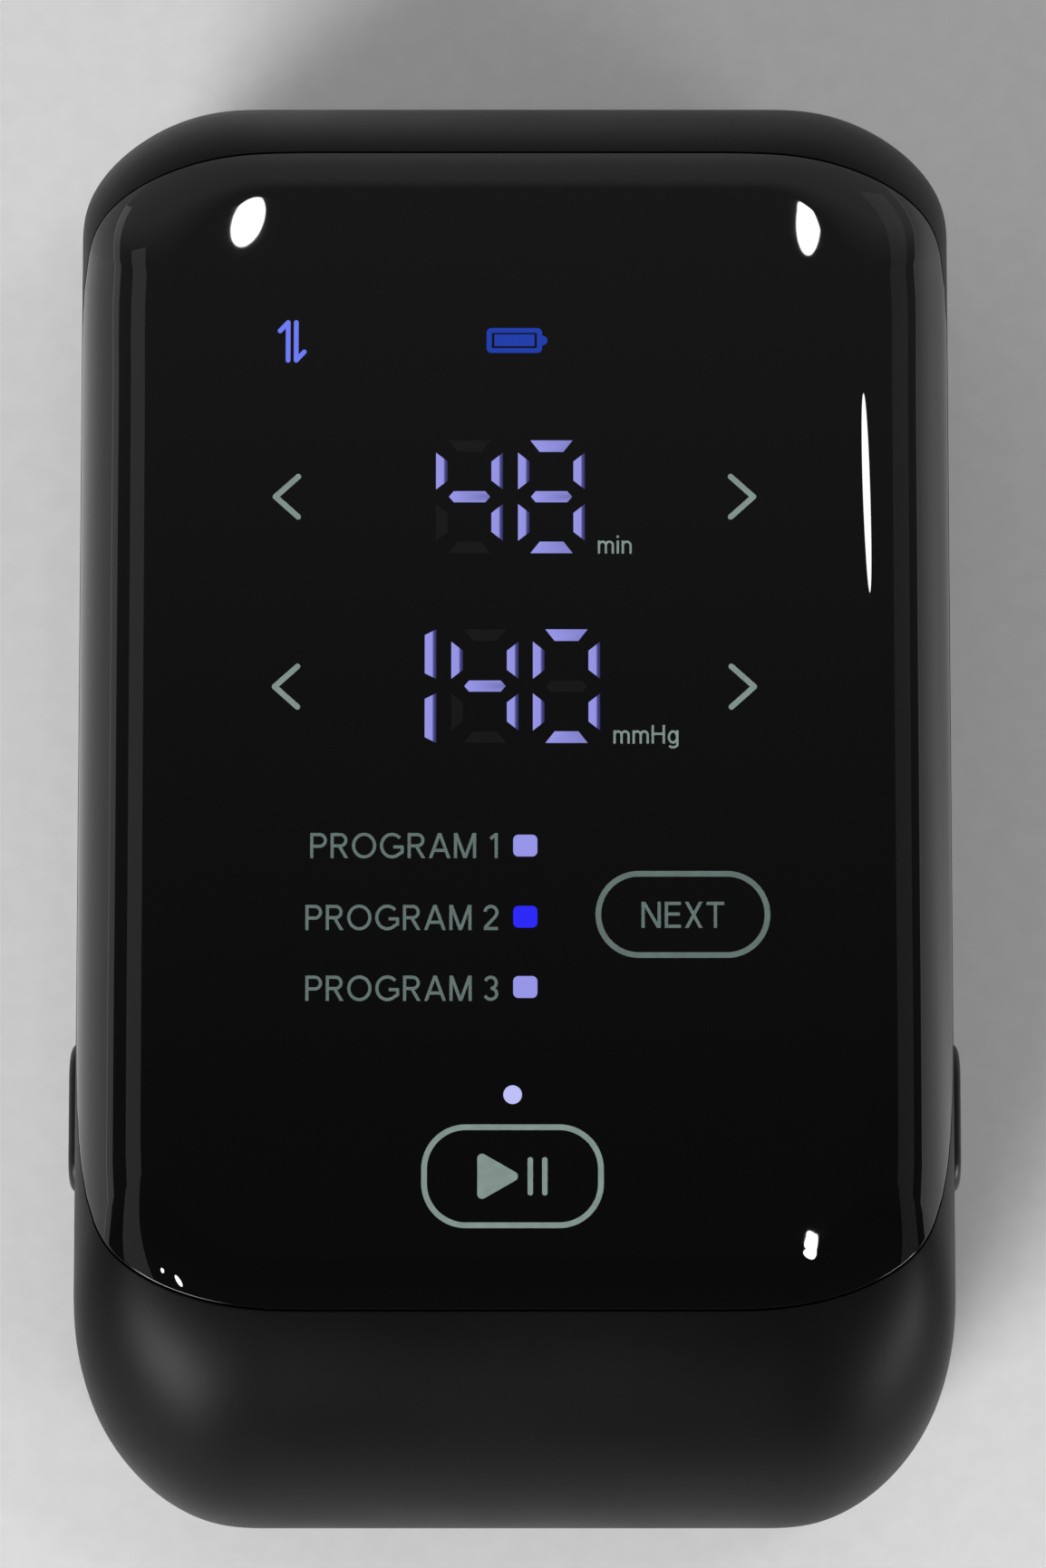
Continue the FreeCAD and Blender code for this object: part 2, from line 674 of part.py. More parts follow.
def digit_segments(centre_x, centre_y, grow):
    """The seven bars of one digit as (x0, x1, y0, y1)."""
    wide = DIGIT_WIDTH / 2
    tall = DIGIT_HEIGHT / 2
    thick = DIGIT_STROKE / 2 + grow
    trim = DIGIT_STROKE * 0.75
    bars = []
    for level in (-1, 0, 1):
        y = centre_y + level * (tall - DIGIT_STROKE / 2)
        reach = wide - trim + grow
        bars.append((centre_x - reach, centre_x + reach, y - thick, y + thick))
    for hand in (-1, 1):
        x = centre_x + hand * (wide - DIGIT_STROKE / 2)
        for level in (-1, 1):
            y = centre_y + level * tall / 2
            reach = tall / 2 - trim + grow
            bars.append((x - thick, x + thick, y - reach, y + reach))
    return bars


def digit_spots():
    spots = []
    for i in range(2):
        spots.append((UPPER_ROW_START + i * DIGIT_PITCH, face_middle + UPPER_ROW_OFFSET))
    for i in range(3):
        spots.append((LOWER_ROW_START + i * DIGIT_PITCH, face_middle + LOWER_ROW_OFFSET))
    return spots


def segment_blocks(grow, low, high):
    shapes = []
    for x, y in digit_spots():
        for x0, x1, y0, y1 in digit_segments(x, y, grow):
            shapes.append(block(x0, x1, y0, y1, low, high))
    return shapes


def indicator_blocks(grow, low, high):
    shapes = []
    half = MODE_LIGHT_SIZE / 2 + grow
    for offset in MODE_LIGHT_OFFSETS:
        y = face_middle + offset
        shapes.append(block(MODE_LIGHT_X - half, MODE_LIGHT_X + half, y - half, y + half, low, high))
    spot = Vector(0, face_middle + START_LIGHT_OFFSET, low)
    shapes.append(rod(spot, Z, START_LIGHT_RADIUS + grow, high - low))
    return shapes


def stack_plate(margin, low, high, corner):
    half = window_half - margin
    reach = window_reach - margin
    return rounded_block(-half, half, face_middle - reach, face_middle + reach, low, high, corner, Z)


def make_mask():
    plate = stack_plate(STACK_CLEARANCE, board_top, mask_top, WINDOW_CORNER - STACK_CLEARANCE)
    holes = segment_blocks(0.0, board_top - 1, mask_top + 1)
    holes += indicator_blocks(0.0, board_top - 1, mask_top + 1)
    return plate.cut(holes)


def make_touch_sheet():
    return stack_plate(STACK_CLEARANCE, mask_top, touch_top, WINDOW_CORNER - STACK_CLEARANCE)


def make_segment_diffusers():
    return group(segment_blocks(-0.03, board_top + LED_HEIGHT + 1.0, mask_top))


def make_indicator_diffusers():
    return group(indicator_blocks(-0.03, board_top + LED_HEIGHT + 1.0, mask_top))


def make_leds():
    chips = []
    half = LED_SIZE / 2
    for shape in segment_blocks(0.0, 0.0, 1.0) + indicator_blocks(0.0, 0.0, 1.0):
        centre = shape.BoundBox.Center
        room_x = min(half, shape.BoundBox.XLength / 2 - 0.1)
        room_y = min(half, shape.BoundBox.YLength / 2 - 0.1)
        chips.append(block(centre.x - room_x, centre.x + room_x, centre.y - room_y, centre.y + room_y,
                           board_top, board_top + LED_HEIGHT))
    return group(chips)


def make_control_board():
    reach = window_reach + BOARD_END_MARGIN
    board = rounded_block(-board_half, board_half, face_middle - reach, face_middle + reach,
                          board_rear, board_top, BOARD_CORNER, Z)
    holes = []
    for x, y in board_screw_spots():
        holes.append(rod(Vector(x, y, board_rear - 1), Z, BOARD_SCREW_RADIUS + 0.1, BOARD_THICKNESS + 2))
    return board.cut(holes)


def make_board_screws():
    screws = []
    for x, y in board_screw_spots():
        head = rod(Vector(x, y, board_rear - 1.2), Z, 1.9, 1.2)
        shank = rod(Vector(x, y, board_rear), Z, BOARD_SCREW_RADIUS, BOARD_THICKNESS + 2.2)
        screws.append(join([head, shank]))
    return group(screws)


def make_board_chips():
    chips = []
    for x, y, wide, tall, deep in (
        (-8.0, face_middle + 4.0, 9.0, 9.0, 1.2),
        (10.0, face_middle + 2.0, 6.0, 8.0, 1.4),
        (12.0, face_middle + 18.0, 5.0, 5.0, 1.0),
        (-18.0, face_middle + 22.0, 8.0, 4.0, 2.6),
        (20.0, face_middle + 28.0, 10.0, 4.0, 2.6),
    ):
        chip = block(x - wide / 2, x + wide / 2, y - tall / 2, y + tall / 2, board_rear - deep, board_rear)
        chips.append(chip)
    return group(chips)


def make_buzzer():
    spot = Vector(14.0, face_middle + 38.0, board_rear - BUZZER_HEIGHT)
    can = rod(spot, Z, BUZZER_RADIUS, BUZZER_HEIGHT)
    return can.cut(rod(spot, Z, 1.0, 1.5))


# Air dock, manifold and valves

plate_low = DOCK_DEPTH
plate_top = plate_low + DOCK_PLATE_THICKNESS
manifold_low = plate_top + GASKET_THICKNESS
manifold_top = manifold_low + MANIFOLD_HEIGHT
gallery_height = manifold_low + MANIFOLD_HEIGHT / 2
pump_length = 2 * (spring_wall_outer - SPRING_WALL_THICKNESS - PUMP_END_GAP)
head_length = BASE_LENGTH + DIAPHRAGM_THICKNESS + CHAMBER_THICKNESS + COVER_LENGTH
motor_length = pump_length - head_length
pump_left = -pump_length / 2
base_left = pump_left + motor_length
diaphragm_left = base_left + BASE_LENGTH
chamber_left = diaphragm_left + DIAPHRAGM_THICKNESS
cover_left = chamber_left + CHAMBER_THICKNESS
outlet_x = cover_left + COVER_LENGTH / 2
sensor_x = -NOZZLE_PITCH
sensor_y = manifold_front - SENSOR_TUBE_LEAD - SENSOR_TUBE_BEND
outlet_edge = pump_y + math.sqrt(PUMP_RADIUS ** 2 - (pump_z - gallery_height - TUBE_RADIUS) ** 2)
nipple_meeting = (outlet_edge + manifold_front) / 2


def nozzle_xs():
    return [(i - 1.5) * NOZZLE_PITCH for i in range(4)]


def make_dock_plate():
    half = DOCK_WIDTH / 2 + DOCK_PLATE_MARGIN
    reach = DOCK_LENGTH / 2 + DOCK_PLATE_MARGIN
    shapes = [block(-half, half, dock_y - reach, dock_y + reach, plate_low, plate_top)]
    for x in nozzle_xs():
        nozzle = rod(Vector(x, dock_y, plate_low - NOZZLE_LENGTH), Z, NOZZLE_RADIUS, NOZZLE_LENGTH + 0.5)
        tip = [e for e in nozzle.Edges if e.BoundBox.ZMax < plate_low - NOZZLE_LENGTH + 0.001]
        shapes.append(nozzle.makeChamfer(0.5, tip))
    bores = [rod(Vector(x, dock_y, 0.0), Z, NOZZLE_BORE, plate_top + 1.0) for x in nozzle_xs()]
    return join(shapes).cut(bores)


def make_manifold_gasket():
    half = MANIFOLD_WIDTH / 2 - 0.5
    reach = MANIFOLD_LENGTH / 2 - 0.5
    sheet = block(-half, half, dock_y - reach, dock_y + reach, plate_top, manifold_low)
    return sheet.cut([rod(Vector(x, dock_y, plate_top - 1), Z, NOZZLE_BORE, 3.0) for x in nozzle_xs()])


def make_manifold():
    half = MANIFOLD_WIDTH / 2
    reach = MANIFOLD_LENGTH / 2
    body = block(-half, half, dock_y - reach, dock_y + reach, manifold_low, manifold_top)
    nipples = []
    for x, end in ((outlet_x, nipple_meeting + 0.6), (sensor_x, manifold_front - SENSOR_TUBE_LEAD + 0.3)):
        root = Vector(x, manifold_front + 0.5, gallery_height)
        nipples.append(rod(root, -Y, NIPPLE_RADIUS, root.y - end))
    body = join([body] + nipples)
    cuts = [rod(Vector(-half + 4.0, dock_y - 4.6, gallery_height), X, GALLERY_RADIUS, MANIFOLD_WIDTH - 8.0)]
    for x in (outlet_x, sensor_x):
        cuts.append(rod(Vector(x, dock_y - 4.6, gallery_height), -Y, NIPPLE_BORE, MANIFOLD_LENGTH))
    for x in nozzle_xs():
        cuts.append(rod(Vector(x, dock_y, manifold_low - 1), Z, NOZZLE_BORE, MANIFOLD_HEIGHT + 2))
        cuts.append(rod(Vector(x, dock_y - 4.6, gallery_height), Z, 0.8, MANIFOLD_HEIGHT))
    return body.cut(cuts)


def make_yokes():
    yokes = []
    for x in nozzle_xs():
        wide = YOKE_WIDTH / 2
        reach = YOKE_LENGTH / 2
        low = manifold_top
        high = low + YOKE_HEIGHT
        frame = block(x - wide, x + wide, dock_y - reach, dock_y + reach, low, high)
        inside = wide - YOKE_THICKNESS
        frame = frame.cut(block(x - inside, x + inside, dock_y - reach - 1, dock_y + reach + 1,
                                low + YOKE_THICKNESS, high - YOKE_THICKNESS))
        frame = frame.cut(rod(Vector(x, dock_y, low - 1), Z, COIL_BORE, YOKE_THICKNESS + 2))
        core_low = low + PLUNGER_SEAT_GAP + PLUNGER_LENGTH + plunger_room
        core = rod(Vector(x, dock_y, core_low), Z, PLUNGER_RADIUS, high - core_low)
        yokes.append(join([frame, core]))
    return group(yokes)


def make_coils():
    coils = []
    for x in nozzle_xs():
        low = manifold_top + YOKE_THICKNESS + 0.05
        height = YOKE_HEIGHT - 2 * YOKE_THICKNESS - 0.1
        winding = ring(Vector(x, dock_y, low), Z, COIL_RADIUS, COIL_BORE, height)
        groove = ring(Vector(x, dock_y, low + 1.0), Z, COIL_RADIUS + 1, COIL_RADIUS - 0.3, height - 2.0)
        coils.append(winding.cut(groove))
    return group(coils)


def make_plunger(x):
    low = manifold_top + PLUNGER_SEAT_GAP
    body = rod(Vector(x, dock_y, low), Z, PLUNGER_RADIUS, PLUNGER_LENGTH)
    bore_low = low + PLUNGER_LENGTH - VALVE_SPRING_DEPTH
    return body.cut(rod(Vector(x, dock_y, bore_low), Z, VALVE_SPRING_BORE, VALVE_SPRING_DEPTH + 1))


def make_valve_spring(x):
    start = manifold_top + PLUNGER_SEAT_GAP + PLUNGER_LENGTH - VALVE_SPRING_DEPTH + tiny
    length = VALVE_SPRING_DEPTH + plunger_room - 2 * tiny
    return coil_spring(
        Vector(x, dock_y, start), Z, VALVE_SPRING_RADIUS, VALVE_SPRING_WIRE, length, VALVE_SPRING_TURNS,
    )


def make_supply_tube():
    start = outlet_edge + 0.2
    length = manifold_front - 0.1 - start
    return ring(Vector(outlet_x, start, gallery_height), Y, TUBE_RADIUS, NIPPLE_RADIUS + TUBE_FIT, length)


# Diaphragm pump

def on_axis(x):
    return Vector(x, pump_y, pump_z)


def around(radius, count, start_angle):
    """Points on a circle about the pump axis, as offsets."""
    offsets = []
    for i in range(count):
        angle = math.radians(start_angle + 360.0 * i / count)
        offsets.append(Vector(0, radius * math.cos(angle), radius * math.sin(angle)))
    return offsets


def make_motor_can():
    shell = rod(on_axis(pump_left), X, MOTOR_RADIUS, motor_length)
    shell = shell.cut(rod(on_axis(pump_left - 1), X, MOTOR_RADIUS - MOTOR_WALL, motor_length + 1 - MOTOR_WALL))
    return shell.cut(rod(on_axis(base_left - MOTOR_WALL - 1), X, BUSH_RADIUS + tiny, MOTOR_WALL + 2))


def make_motor_magnets():
    outer = MOTOR_RADIUS - MOTOR_WALL - tiny
    inner = outer - MAGNET_THICKNESS
    left = base_left - MOTOR_WALL - 3.0 - MAGNET_LENGTH
    sleeve = ring(on_axis(left), X, outer, inner, MAGNET_LENGTH)
    gap = block(left - 1, left + MAGNET_LENGTH + 1, pump_y - 3.0, pump_y + 3.0, pump_z - 20, pump_z + 20)
    return group(sleeve.cut(gap).Solids)


def make_motor_cap():
    cap = rod(on_axis(pump_left), X, MOTOR_RADIUS - MOTOR_WALL - tiny, 2.6)
    return cap.cut(rod(on_axis(pump_left - 1), X, BUSH_RADIUS + tiny, 5.0))


def make_motor_bushes():
    left = ring(on_axis(pump_left), X, BUSH_RADIUS, SHAFT_RADIUS + SHAFT_CLEARANCE, 3.2)
    right = ring(on_axis(base_left - MOTOR_WALL - 1.5), X, BUSH_RADIUS, SHAFT_RADIUS + SHAFT_CLEARANCE,
                 MOTOR_WALL + 1.5)
    return group([left, right])


def make_motor_rotor():
    shaft_end = base_left + BASE_FLOOR + 0.3 + CUP_LENGTH / 2
    shaft = rod(on_axis(pump_left + 0.4), X, SHAFT_RADIUS, shaft_end - pump_left - 0.4)
    right = base_left - MOTOR_WALL - 4.5
    armature = rod(on_axis(right - ARMATURE_LENGTH), X, ARMATURE_RADIUS, ARMATURE_LENGTH)
    slots = []
    for offset in around(ARMATURE_RADIUS - 2.2, 3, 30.0):
        slots.append(rod(on_axis(right - ARMATURE_LENGTH - 1) + offset, X, 2.0, ARMATURE_LENGTH + 2))
    for offset in around(ARMATURE_RADIUS, 3, 30.0):
        slots.append(rod(on_axis(right - ARMATURE_LENGTH - 1) + offset, X, 0.7, ARMATURE_LENGTH + 2))
    commutator = rod(on_axis(right - ARMATURE_LENGTH - 4.0), X, COMMUTATOR_RADIUS, 4.5)
    return join([shaft, armature.cut(slots), commutator])


def make_pump_base():
    body = rod(on_axis(base_left), X, PUMP_RADIUS, BASE_LENGTH)
    body = body.cut(rod(on_axis(base_left + BASE_FLOOR), X, BASE_BORE, BASE_LENGTH))
    cuts = [rod(on_axis(base_left - 1), X, BUSH_RADIUS + 1.0, BASE_FLOOR + 2)]
    cuts += pump_screw_holes(base_left + 2.0)
    return body.cut(cuts)


def pump_screw_holes(left):
    holes = []
    for offset in around(PUMP_SCREW_OFFSET, 4, 45.0):
        holes.append(rod(on_axis(left) + offset, X, PUMP_SCREW_RADIUS + 0.04, pump_length))
    return holes


def make_drive_cup():
    left = base_left + BASE_FLOOR + 0.4
    cup = rod(on_axis(left), X, CUP_RADIUS, CUP_LENGTH)
    cup = cup.cut(rod(on_axis(left - 1), X, SHAFT_RADIUS + tiny, CUP_LENGTH))
    return cup.cut(rod(on_axis(left + CUP_LENGTH / 2), X, 2.9, CUP_LENGTH))


def wobble_left():
    return base_left + BASE_FLOOR + 0.4 + CUP_LENGTH + 0.8


def make_wobble_plate():
    left = wobble_left()
    shapes = [rod(on_axis(left), X, 3.4, 1.2)]
    for offset in around(DIAPHRAGM_CUP_OFFSET, 3, 90.0):
        shapes.append(rod(on_axis(left) + offset, X, 2.2, 1.2))
    stem = rod(on_axis(left + 0.6), Vector(-1, 0.22, 0), 0.9, 2.6)
    plate = join(shapes + [stem])
    return plate.cut([rod(on_axis(left - 1) + o, X, 0.9, 4.0) for o in around(DIAPHRAGM_CUP_OFFSET, 3, 90.0)])


def make_diaphragm():
    left = diaphragm_left
    sheet = rod(on_axis(left), X, PUMP_RADIUS - 0.1, DIAPHRAGM_THICKNESS)
    shapes = [sheet]
    cup_left = wobble_left() + 1.2
    for offset in around(DIAPHRAGM_CUP_OFFSET, 3, 90.0):
        shapes.append(rod(on_axis(cup_left) + offset, X, DIAPHRAGM_CUP_RADIUS - 1.2, left - cup_left + 0.3))
        shapes.append(rod(on_axis(cup_left - 1.6) + offset, X, 0.85, 2.0))
    rubber = join(shapes)
    cuts = pump_screw_holes(left - 1)
    for offset in around(DIAPHRAGM_CUP_OFFSET, 3, 90.0):
        cuts.append(rod(on_axis(cup_left + 0.5) + offset, X, DIAPHRAGM_CUP_RADIUS - 1.9, 10.0))
    return rubber.cut(cuts)


def make_chamber_plate():
    plate = rod(on_axis(chamber_left), X, PUMP_RADIUS - 0.1, CHAMBER_THICKNESS)
    cuts = pump_screw_holes(chamber_left - 1)
    for offset in around(DIAPHRAGM_CUP_OFFSET, 3, 90.0):
        cuts.append(rod(on_axis(chamber_left - 1) + offset, X, DIAPHRAGM_CUP_RADIUS - 1.2, 2.0))
        cuts.append(rod(on_axis(chamber_left - 1) + offset, X, 0.6, 5.0))
    return plate.cut(cuts)


def make_pump_cover():
    shell = rod(on_axis(cover_left), X, PUMP_RADIUS, COVER_LENGTH)
    nipple = rod(Vector(outlet_x, outlet_edge - 3.0, gallery_height), Y, NIPPLE_RADIUS,
                 nipple_meeting - 0.6 - outlet_edge + 3.0)
    shell = join([shell, nipple])
    cuts = pump_screw_holes(cover_left - 1)
    cuts.append(rod(on_axis(cover_left - 1), X, BASE_BORE, COVER_LENGTH - 0.6))
    cuts.append(rod(Vector(outlet_x, pump_y, gallery_height), Y, NIPPLE_BORE, 40.0))
    for offset in around(PUMP_SCREW_OFFSET, 4, 45.0):
        cuts.append(rod(on_axis(cover_left + COVER_LENGTH - 0.8) + offset, X, 1.4, 2.0))
    return shell.cut(cuts)


def make_pump_screws():
    screws = []
    seat = cover_left + COVER_LENGTH - 0.8
    for offset in around(PUMP_SCREW_OFFSET, 4, 45.0):
        head = rod(on_axis(seat) + offset, X, 1.3, 0.7)
        shank = rod(on_axis(base_left + 2.2) + offset, X, PUMP_SCREW_RADIUS, seat - base_left - 2.2 + 0.1)
        screws.append(join([head, shank]))
    return group(screws)


def make_pump_cradles():
    cradles = []
    motor_spot = pump_left + motor_length / 3 - CRADLE_LENGTH / 2
    head_spot = base_left + 1.0
    for left, radius in ((motor_spot, MOTOR_RADIUS), (head_spot, PUMP_RADIUS)):
        saddle = block(left, left + CRADLE_LENGTH, pump_y - CRADLE_SPAN / 2, pump_y + CRADLE_SPAN / 2,
                       WALL, WALL + CRADLE_HEIGHT)
        cradles.append(saddle.cut(rod(on_axis(left - 1), X, radius + 0.05, CRADLE_LENGTH + 2)))
    return group(cradles)


# Battery, charging board and intake filter

def make_cell(y):
    half = CELL_LENGTH / 2
    can = rod(Vector(-half, y, cell_height), X, CELL_RADIUS, CELL_LENGTH)
    waist = ring(Vector(half - 4.0, y, cell_height), X, CELL_RADIUS + 1, CELL_RADIUS - 0.5, 1.2)
    crown = ring(Vector(half - 1.2, y, cell_height), X, CELL_RADIUS + 1, 3.2, 2.0)
    return can.cut([waist, crown])


def make_battery_tray():
    half = CELL_LENGTH / 2 + 0.4 + TRAY_WALL
    high = cell_ys[0] + CELL_RADIUS + CELL_CLEARANCE + TRAY_WALL
    tray = block(-half, half, tray_low, high, WALL, WALL + TRAY_HEIGHT)
    cuts = []
    for y in cell_ys:
        start = Vector(-CELL_LENGTH / 2 - 0.4, y, cell_height)
        cuts.append(rod(start, X, CELL_RADIUS + CELL_CLEARANCE, CELL_LENGTH + 0.8))
    return tray.cut(cuts)


def make_cell_tabs():
    tabs = []
    for side in (-1, 1):
        inner = CELL_LENGTH / 2 + 0.05
        low = WALL + TRAY_HEIGHT + 0.2
        tabs.append(side_block(
            side, inner, inner + TAB_THICKNESS, cell_ys[1] - 4.0, cell_ys[0] + 4.0, low, low + 3.5,
        ))
    return group(tabs)


def make_charging_board():
    half = CHARGER_WIDTH / 2
    board = block(-half, half, charger_front, charger_front + CHARGER_LENGTH, CHARGER_HEIGHT, port_low)
    holes = []
    for x in (-half + 3.0, half - 3.0):
        holes.append(rod(Vector(x, charger_front + CHARGER_LENGTH - 3.0, CHARGER_HEIGHT - 1), Z,
                         BOARD_SCREW_RADIUS + 0.1, CHARGER_THICKNESS + 2))
    return board.cut(holes)


def make_charger_screws():
    screws = []
    for x in (-CHARGER_WIDTH / 2 + 3.0, CHARGER_WIDTH / 2 - 3.0):
        y = charger_front + CHARGER_LENGTH - 3.0
        head = rod(Vector(x, y, port_low), Z, 1.9, 1.2)
        shank = rod(Vector(x, y, port_low), -Z, BOARD_SCREW_RADIUS, CHARGER_THICKNESS + 2.4)
        screws.append(join([head, shank]))
    return group(screws)


def make_charger_chips():
    y = charger_front + CHARGER_LENGTH - 2.5
    return group([
        block(-4.0, 1.0, y - 2.0, y + 2.0, port_low, port_low + 1.0),
        block(4.0, 8.0, y - 2.0, y + 2.0, port_low, port_low + 2.6),
    ])


def port_shell(grow, start, end):
    half = PORT_WIDTH / 2 - grow
    radius = 0.45 * PORT_HEIGHT - grow
    return rounded_block(-half, half, start, end, port_low + grow, port_low + PORT_HEIGHT - grow, radius, Y)


def make_usb_port():
    start = low_end + PORT_RECESS
    end = start + PORT_LENGTH
    shell = port_shell(0.0, start, end)
    return shell.cut(port_shell(PORT_WALL, start - 1.0, end - 1.0))


def make_usb_tongue():
    start = low_end + PORT_RECESS + 0.8
    end = low_end + PORT_RECESS + PORT_LENGTH - 1.0
    middle = port_low + PORT_HEIGHT / 2
    return block(-3.3, 3.3, start, end, middle - 0.35, middle + 0.35)


def make_intake_filter():
    high = top_end - WALL - 0.1
    return block(-FILTER_WIDTH / 2, FILTER_WIDTH / 2, high - FILTER_LENGTH, high, WALL, WALL + FILTER_HEIGHT)


def make_pressure_sensor():
    body = block(sensor_x - 3.5, sensor_x + 3.5, sensor_y - 3.5, sensor_y + 3.5, board_rear - 3.0, board_rear)
    nipple = rod(Vector(sensor_x, sensor_y, board_rear - 2.8), -Z, NIPPLE_RADIUS, 4.2)
    return join([body, nipple]).cut(rod(Vector(sensor_x, sensor_y, board_rear - 2.0), -Z, NIPPLE_BORE, 8.0))


def make_sensor_tube():
    """A soft tube from the manifold round one bend and up to the sensor."""
    bend = SENSOR_TUBE_BEND
    halfway = bend * (1 - math.sqrt(0.5))
    start = Vector(sensor_x, manifold_front - 0.1, gallery_height)
    turn = Vector(sensor_x, sensor_y + bend, gallery_height)
    middle = Vector(sensor_x, sensor_y + halfway, gallery_height + halfway)
    rise = Vector(sensor_x, sensor_y, gallery_height + bend)
    end = Vector(sensor_x, sensor_y, board_rear - 3.1)
    path = Part.Wire([
        Part.LineSegment(start, turn).toShape(),
        Part.Arc(turn, middle, rise).toShape(),
        Part.LineSegment(rise, end).toShape(),
    ])
    solids = []
    for radius in (SENSOR_TUBE_RADIUS, NIPPLE_RADIUS + TUBE_FIT):
        circle = Part.Wire(Part.makeCircle(radius, start, Y))
        solids.append(path.makePipeShell([circle], True, False))
    return solids[0].cut(solids[1])


nodes = {
    "front_lens": make_lens(),
    "front_housing": make_front_housing(),
    "rear_housing": make_rear_housing(),
    "parting_seal": make_parting_seal(),
    "housing_screws": make_housing_screws(),
    "screw_plugs": make_screw_plugs(),
    "release_button_left": make_button(-1),
    "release_button_right": make_button(1),
    "latch_hook_left": make_latch(-1),
    "latch_hook_right": make_latch(1),
    "release_spring_left": make_release_spring(-1),
    "release_spring_right": make_release_spring(1),
    "touch_sheet": make_touch_sheet(),
    "display_mask": make_mask(),
    "segment_diffusers": make_segment_diffusers(),
    "indicator_diffusers": make_indicator_diffusers(),
    "led_chips": make_leds(),
    "control_board": make_control_board(),
    "board_screws": make_board_screws(),
    "board_chips": make_board_chips(),
    "buzzer": make_buzzer(),
    "dock_plate": make_dock_plate(),
    "manifold_gasket": make_manifold_gasket(),
    "manifold": make_manifold(),
    "valve_yokes": make_yokes(),
    "valve_coils": make_coils(),
    "supply_tube": make_supply_tube(),
    "pressure_sensor": make_pressure_sensor(),
    "sensor_tube": make_sensor_tube(),
    "motor_can": make_motor_can(),
    "motor_magnets": make_motor_magnets(),
    "motor_cap": make_motor_cap(),
    "motor_bushes": make_motor_bushes(),
    "motor_rotor": make_motor_rotor(),
    "drive_cup": make_drive_cup(),
    "pump_base": make_pump_base(),
    "wobble_plate": make_wobble_plate(),
    "diaphragm": make_diaphragm(),
    "chamber_plate": make_chamber_plate(),
    "pump_cover": make_pump_cover(),
    "pump_screws": make_pump_screws(),
    "pump_cradles": make_pump_cradles(),
    "battery_cell_upper": make_cell(cell_ys[0]),
    "battery_cell_lower": make_cell(cell_ys[1]),
    "battery_tray": make_battery_tray(),
    "cell_tabs": make_cell_tabs(),
    "charging_board": make_charging_board(),
    "charger_screws": make_charger_screws(),
    "charger_chips": make_charger_chips(),
    "usb_port": make_usb_port(),
    "usb_tongue": make_usb_tongue(),
    "intake_filter": make_intake_filter(),
}
for number, x in enumerate(nozzle_xs(), 1):
    nodes[f"valve_plunger_{number}"] = make_plunger(x)
    nodes[f"valve_spring_{number}"] = make_valve_spring(x)

os.makedirs("parts", exist_ok=True)
for name, shape in nodes.items():
    shape.exportStep(f"parts/{name}.step")
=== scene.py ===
import json
import math
import bpy
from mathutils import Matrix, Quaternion, Vector


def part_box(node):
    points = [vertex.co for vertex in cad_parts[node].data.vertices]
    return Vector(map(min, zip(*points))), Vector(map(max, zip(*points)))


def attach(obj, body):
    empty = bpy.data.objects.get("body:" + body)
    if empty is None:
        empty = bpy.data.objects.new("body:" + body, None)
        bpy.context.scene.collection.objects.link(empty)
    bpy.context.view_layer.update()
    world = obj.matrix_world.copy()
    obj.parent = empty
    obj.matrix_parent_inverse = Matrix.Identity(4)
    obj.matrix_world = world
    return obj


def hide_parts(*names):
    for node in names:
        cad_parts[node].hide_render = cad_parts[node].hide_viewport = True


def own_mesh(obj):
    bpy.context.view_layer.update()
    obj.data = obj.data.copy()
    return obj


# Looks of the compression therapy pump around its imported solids.
# Sizes of the part and of the camera are in millimetres, and become metres where Blender takes them.
# The floor, the lamps and the textures go by metres.

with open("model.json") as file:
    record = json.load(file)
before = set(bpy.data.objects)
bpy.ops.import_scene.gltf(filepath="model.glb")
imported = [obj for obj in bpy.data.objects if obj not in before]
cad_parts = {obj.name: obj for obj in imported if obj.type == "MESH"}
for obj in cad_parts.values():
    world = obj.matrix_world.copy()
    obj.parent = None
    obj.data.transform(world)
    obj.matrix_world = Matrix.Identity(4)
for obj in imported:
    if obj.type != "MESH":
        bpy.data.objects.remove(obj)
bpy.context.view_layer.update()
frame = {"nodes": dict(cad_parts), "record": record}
nodes = frame["nodes"]
MM = 0.001

# Body form, with the same values as the solids
BODY_WIDTH = 80.0
BODY_LENGTH = 134.0
BODY_DEPTH = 46.0
PARTING_HEIGHT = 16.0
WALL = 2.4
SIDE_ROLL_WIDTH = 10.7
SIDE_ROLL_DEPTH = 16.0
SIDE_ROLL_POWER = 2.5
END_ROLL_POWER = 2.0
TOP_ROLL_LENGTH = 12.6
CHIN_LENGTH = 26.7
TOP_CORNER = (17.0, 13.0)
CHIN_CORNER = (17.0, 18.0)
FACE_CORNER = (9.0, 8.0)
CORNER_FULLNESS = 0.60
CORNER_PULLS = (0.0, 0.32, 0.56)
LENS_THICKNESS = 2.0
LENS_BACK_ROOM = 0.2
LENS_TOP_MARGIN = 9.1
LENS_CHIN_MARGIN = 21.9
LENS_SIDE_DEPTH = 9.6
LENS_TOP_CORNER = (30.0, 16.5)
LENS_LOW_CORNER = (29.6, 27.0)
SEAM_SIDE_FLARE = 1.0
SEAM_END_FLARE = 0.5
SEAM_GAP = 0.2
BUTTON_Y = -28.5
BUTTON_HEIGHT_UP = 24.9
BUTTON_LENGTH = 14.0
BUTTON_TALL = 7.0
BUTTON_CLEARANCE = 0.35
PASSAGE_REACH = 6.0
RELEASE_SPRING_SEAT = 25.2
RELEASE_SPRING_WIRE = 0.3
RELEASE_SPRING_TURNS = 6
VALVE_COUNT = 4
VALVE_SPRING_SEAT = 22.0
VALVE_SPRING_WIRE = 0.18
